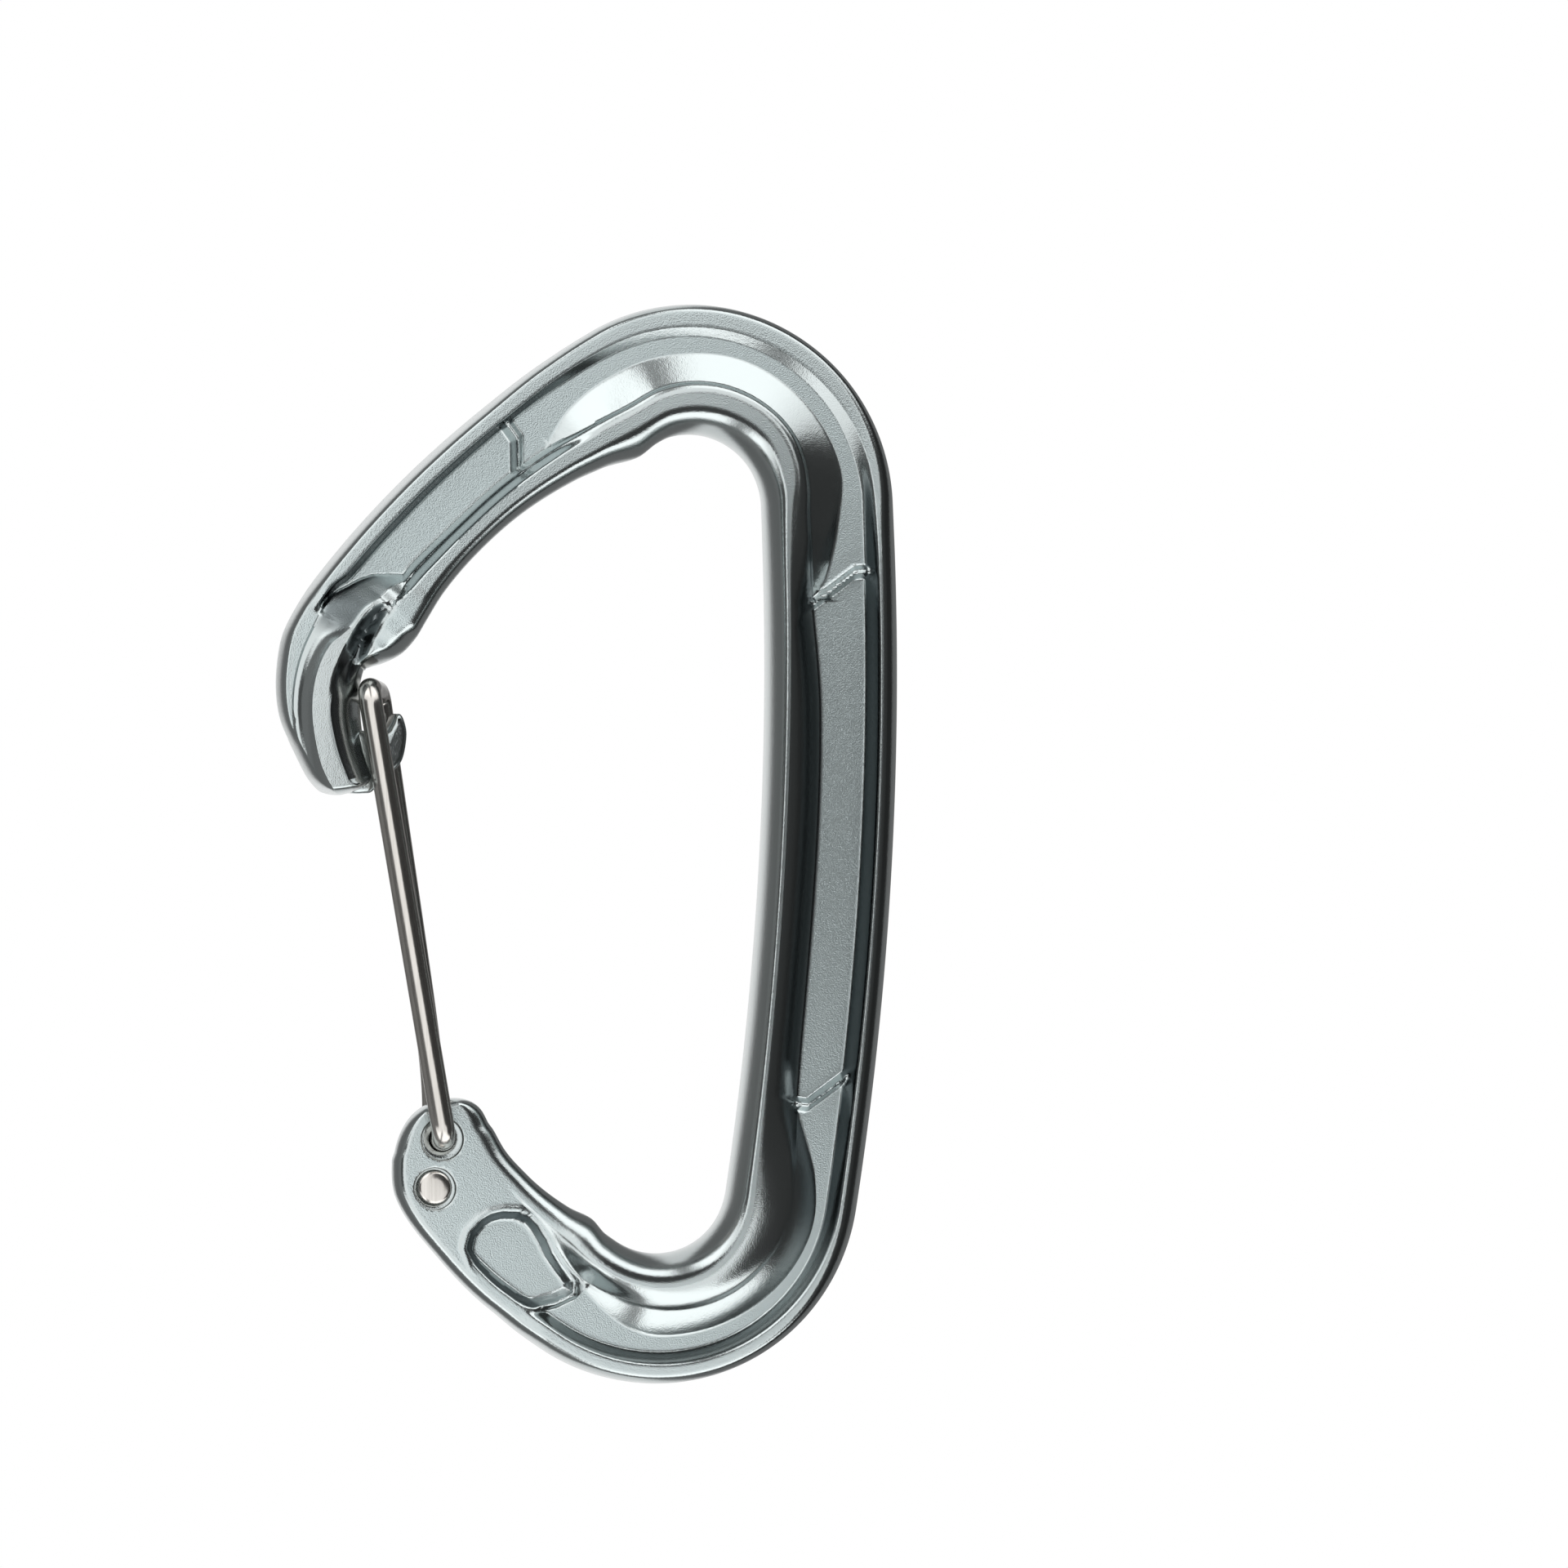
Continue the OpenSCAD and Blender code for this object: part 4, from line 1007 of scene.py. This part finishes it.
def make_camera():
    """Camera that frames the object as the photograph does."""
    right = Vector((math.cos(YAW), 0, math.sin(YAW)))
    up = Vector((0, 1, 0))
    back = right.cross(up)
    data = bpy.data.cameras.new("camera")
    data.sensor_width = SENSOR
    data.lens = SENSOR * CAMERA_DISTANCE / FRAME_WIDTH
    data.clip_end = CLIP_END
    camera = bpy.data.objects.new("camera", data)
    middle = right * AIM[0] + up * AIM[1]
    camera.matrix_world = Matrix.Translation(middle + back * CAMERA_DISTANCE) @ Matrix(
        (right, up, back)).transposed().to_4x4()
    bpy.context.scene.collection.objects.link(camera)
    bpy.context.scene.camera = camera


# The surround's light by direction: from where to where it changes, and its strengths there.
# Soft boxes, from level to up or down, and the dark between them, from left to right
BOX_LIGHT, SIDE_LIGHT = (0.45, 0.72, 1.3, 1.95), (-0.3, 0.3, 0.1, 0.05)
# Where the boxes end at the right and at the left, and how far they reach round there above and below
RIGHT_END = ((0.45, 0.6), (0.36, 0.48), (-0.68, -0.56))
LEFT_END = ((-0.78, -0.6), (0.26, 0.38), (-0.38, -0.26))
# Slants of the gap between two boxes above and of that between two below, the gap's edge, where it
# closes overhead, and where above gives way to below
GAP_ABOVE, GAP_BELOW, GAP_EDGE, OVERHEAD = 0.09, -0.36, (0.06, 0.17, 0.12, 1.0), (0.7, 0.9)
LEVEL = (-0.05, 0.05)
# The boxes fade at the horizon into a faint glow, from left to right
HORIZON, HORIZON_GLOW = (0.04, 0.14), (0.2, 0.6, 0.25, 0.03)


def make_studio():
    """Soft boxes above and below the object, dark on both sides, and a white surround."""
    world = bpy.data.worlds.new("studio")
    bpy.context.scene.world = world
    world.use_nodes = True
    tree = world.node_tree
    direction = add_node(tree, "TexCoord").outputs["Generated"]
    x, y, z = add_node(tree, "SeparateXYZ", {"Vector": direction}).outputs

    def product(a, b):
        return math_node(tree, "MULTIPLY", a, b)

    def opposite(value):
        return math_node(tree, "SUBTRACT", 1.0, value)

    def largest(a, b):
        return math_node(tree, "MAXIMUM", a, b)

    lit = spread(tree, math_node(tree, "ABSOLUTE", y), *BOX_LIGHT)
    dark = spread(tree, x, *SIDE_LIGHT)
    right = opposite(spread(tree, x, *RIGHT_END[0]))
    left = spread(tree, x, *LEFT_END[0])
    right, left = (largest(side, largest(spread(tree, y, *above), opposite(spread(tree, y, *below))))
                   for side, (_, above, below) in ((right, RIGHT_END), (left, LEFT_END)))
    box = product(right, left)
    is_above = spread(tree, y, *LEVEL)
    for slant, here in ((GAP_ABOVE, is_above), (GAP_BELOW, opposite(is_above))):
        gap = math_node(tree, "ABSOLUTE", math_node(tree, "MULTIPLY_ADD", y, slant, x))
        here = product(here, opposite(spread(tree, z, *OVERHEAD)))
        box = product(box, opposite(product(opposite(spread(tree, gap, *GAP_EDGE)), here)))
    light = math_node(tree, "MULTIPLY_ADD", box, lit, dark)
    light = product(light, spread(tree, z, *HORIZON))
    glow = product(spread(tree, x, *HORIZON_GLOW), spread(tree, z, *HORIZON, 1.0, 0.0))
    background = tree.nodes["Background"]
    plug(tree, background, {"Color": (1, 1, 1, 1), "Strength": largest(light, glow)})

    white = add_node(tree, "Background", {"Strength": 1.0, "Color": (1, 1, 1, 1)})
    direct = add_node(tree, "LightPath").outputs["Is Camera Ray"]
    mix = add_node(tree, "MixShader", {
        "Fac": direct, 1: background.outputs["Background"], 2: white.outputs["Background"]})
    plug(tree, tree.nodes["World Output"], {"Surface": mix.outputs["Shader"]})


# Half the floor's width and length, its height, and its colour
FLOOR_HALF, FLOOR_Z, WHITE = (0.4, 0.6), -0.25, (0.9, 0.9, 0.9, 1)
# The floor as reflections see it, from the middle outwards: from where, to where, and the strengths
POOL = (0.04, 0.1, 1.0, 0.2)


def flat_piece(name, points):
    """Object with one flat face between points in metres."""
    mesh = bpy.data.meshes.new(name)
    mesh.from_pydata(points, [], [list(range(len(points)))])
    piece = bpy.data.objects.new(name, mesh)
    bpy.context.scene.collection.objects.link(piece)
    return piece


def make_floor():
    """White floor below the object: evenly bright to the camera, and a pool of light in reflections."""
    wide, long = FLOOR_HALF
    floor = flat_piece("floor", [
        (x * wide, y * long, FLOOR_Z) for x, y in ((-1, -1), (1, -1), (1, 1), (-1, 1))])
    material, tree, shader = new_material("floor")
    plug(tree, shader, {"Base Color": WHITE, "Roughness": 0.9})
    rays = add_node(tree, "LightPath").outputs
    camera, glossy, through = rays["Is Camera Ray"], rays["Is Glossy Ray"], rays["Is Transmission Ray"]
    place = add_node(tree, "TexCoord").outputs["Object"]
    x = add_node(tree, "SeparateXYZ", {"Vector": place}).outputs["X"]
    pool = spread(tree, math_node(tree, "ABSOLUTE", x), *POOL)
    direct = math_node(tree, "MAXIMUM", camera, through)
    glow = add_node(tree, "Emission", {"Strength": math_node(tree, "MAXIMUM", direct, pool)})
    seen = math_node(tree, "MAXIMUM", direct, glossy)
    mix = add_node(tree, "MixShader", {
        "Fac": seen, 1: shader.outputs["BSDF"], 2: glow.outputs["Emission"]})
    plug(tree, tree.nodes["Material Output"], {"Surface": mix.outputs["Shader"]})
    floor.data.materials.append(material)


# Place, size and corners of the round card, and its colour
HOOD_CENTRE, HOOD_RADIUS, HOOD_Z, HOOD_SIDES = (0.031, 0.003), 0.041, 0.07, 64
BLACK = (0.03, 0.03, 0.03, 1)


def make_hood():
    """Dark round card over the spine, seen in the flats there as a camera's hood is."""
    turns = np.arange(HOOD_SIDES) * 2 * math.pi / HOOD_SIDES
    hood = flat_piece("hood", [(HOOD_CENTRE[0] + HOOD_RADIUS * math.cos(a),
                                HOOD_CENTRE[1] + HOOD_RADIUS * math.sin(a), HOOD_Z) for a in turns])
    hood.visible_camera = False
    hood.visible_shadow = False
    material, tree, shader = new_material("hood")
    plug(tree, shader, {"Base Color": BLACK, "Roughness": 1.0, "Specular IOR Level": 0.0})
    hood.data.materials.append(material)


make_camera()
make_hood()
make_studio()
make_floor()
make_body()
make_wire()

bpy.context.scene.view_settings.view_transform = "Standard"
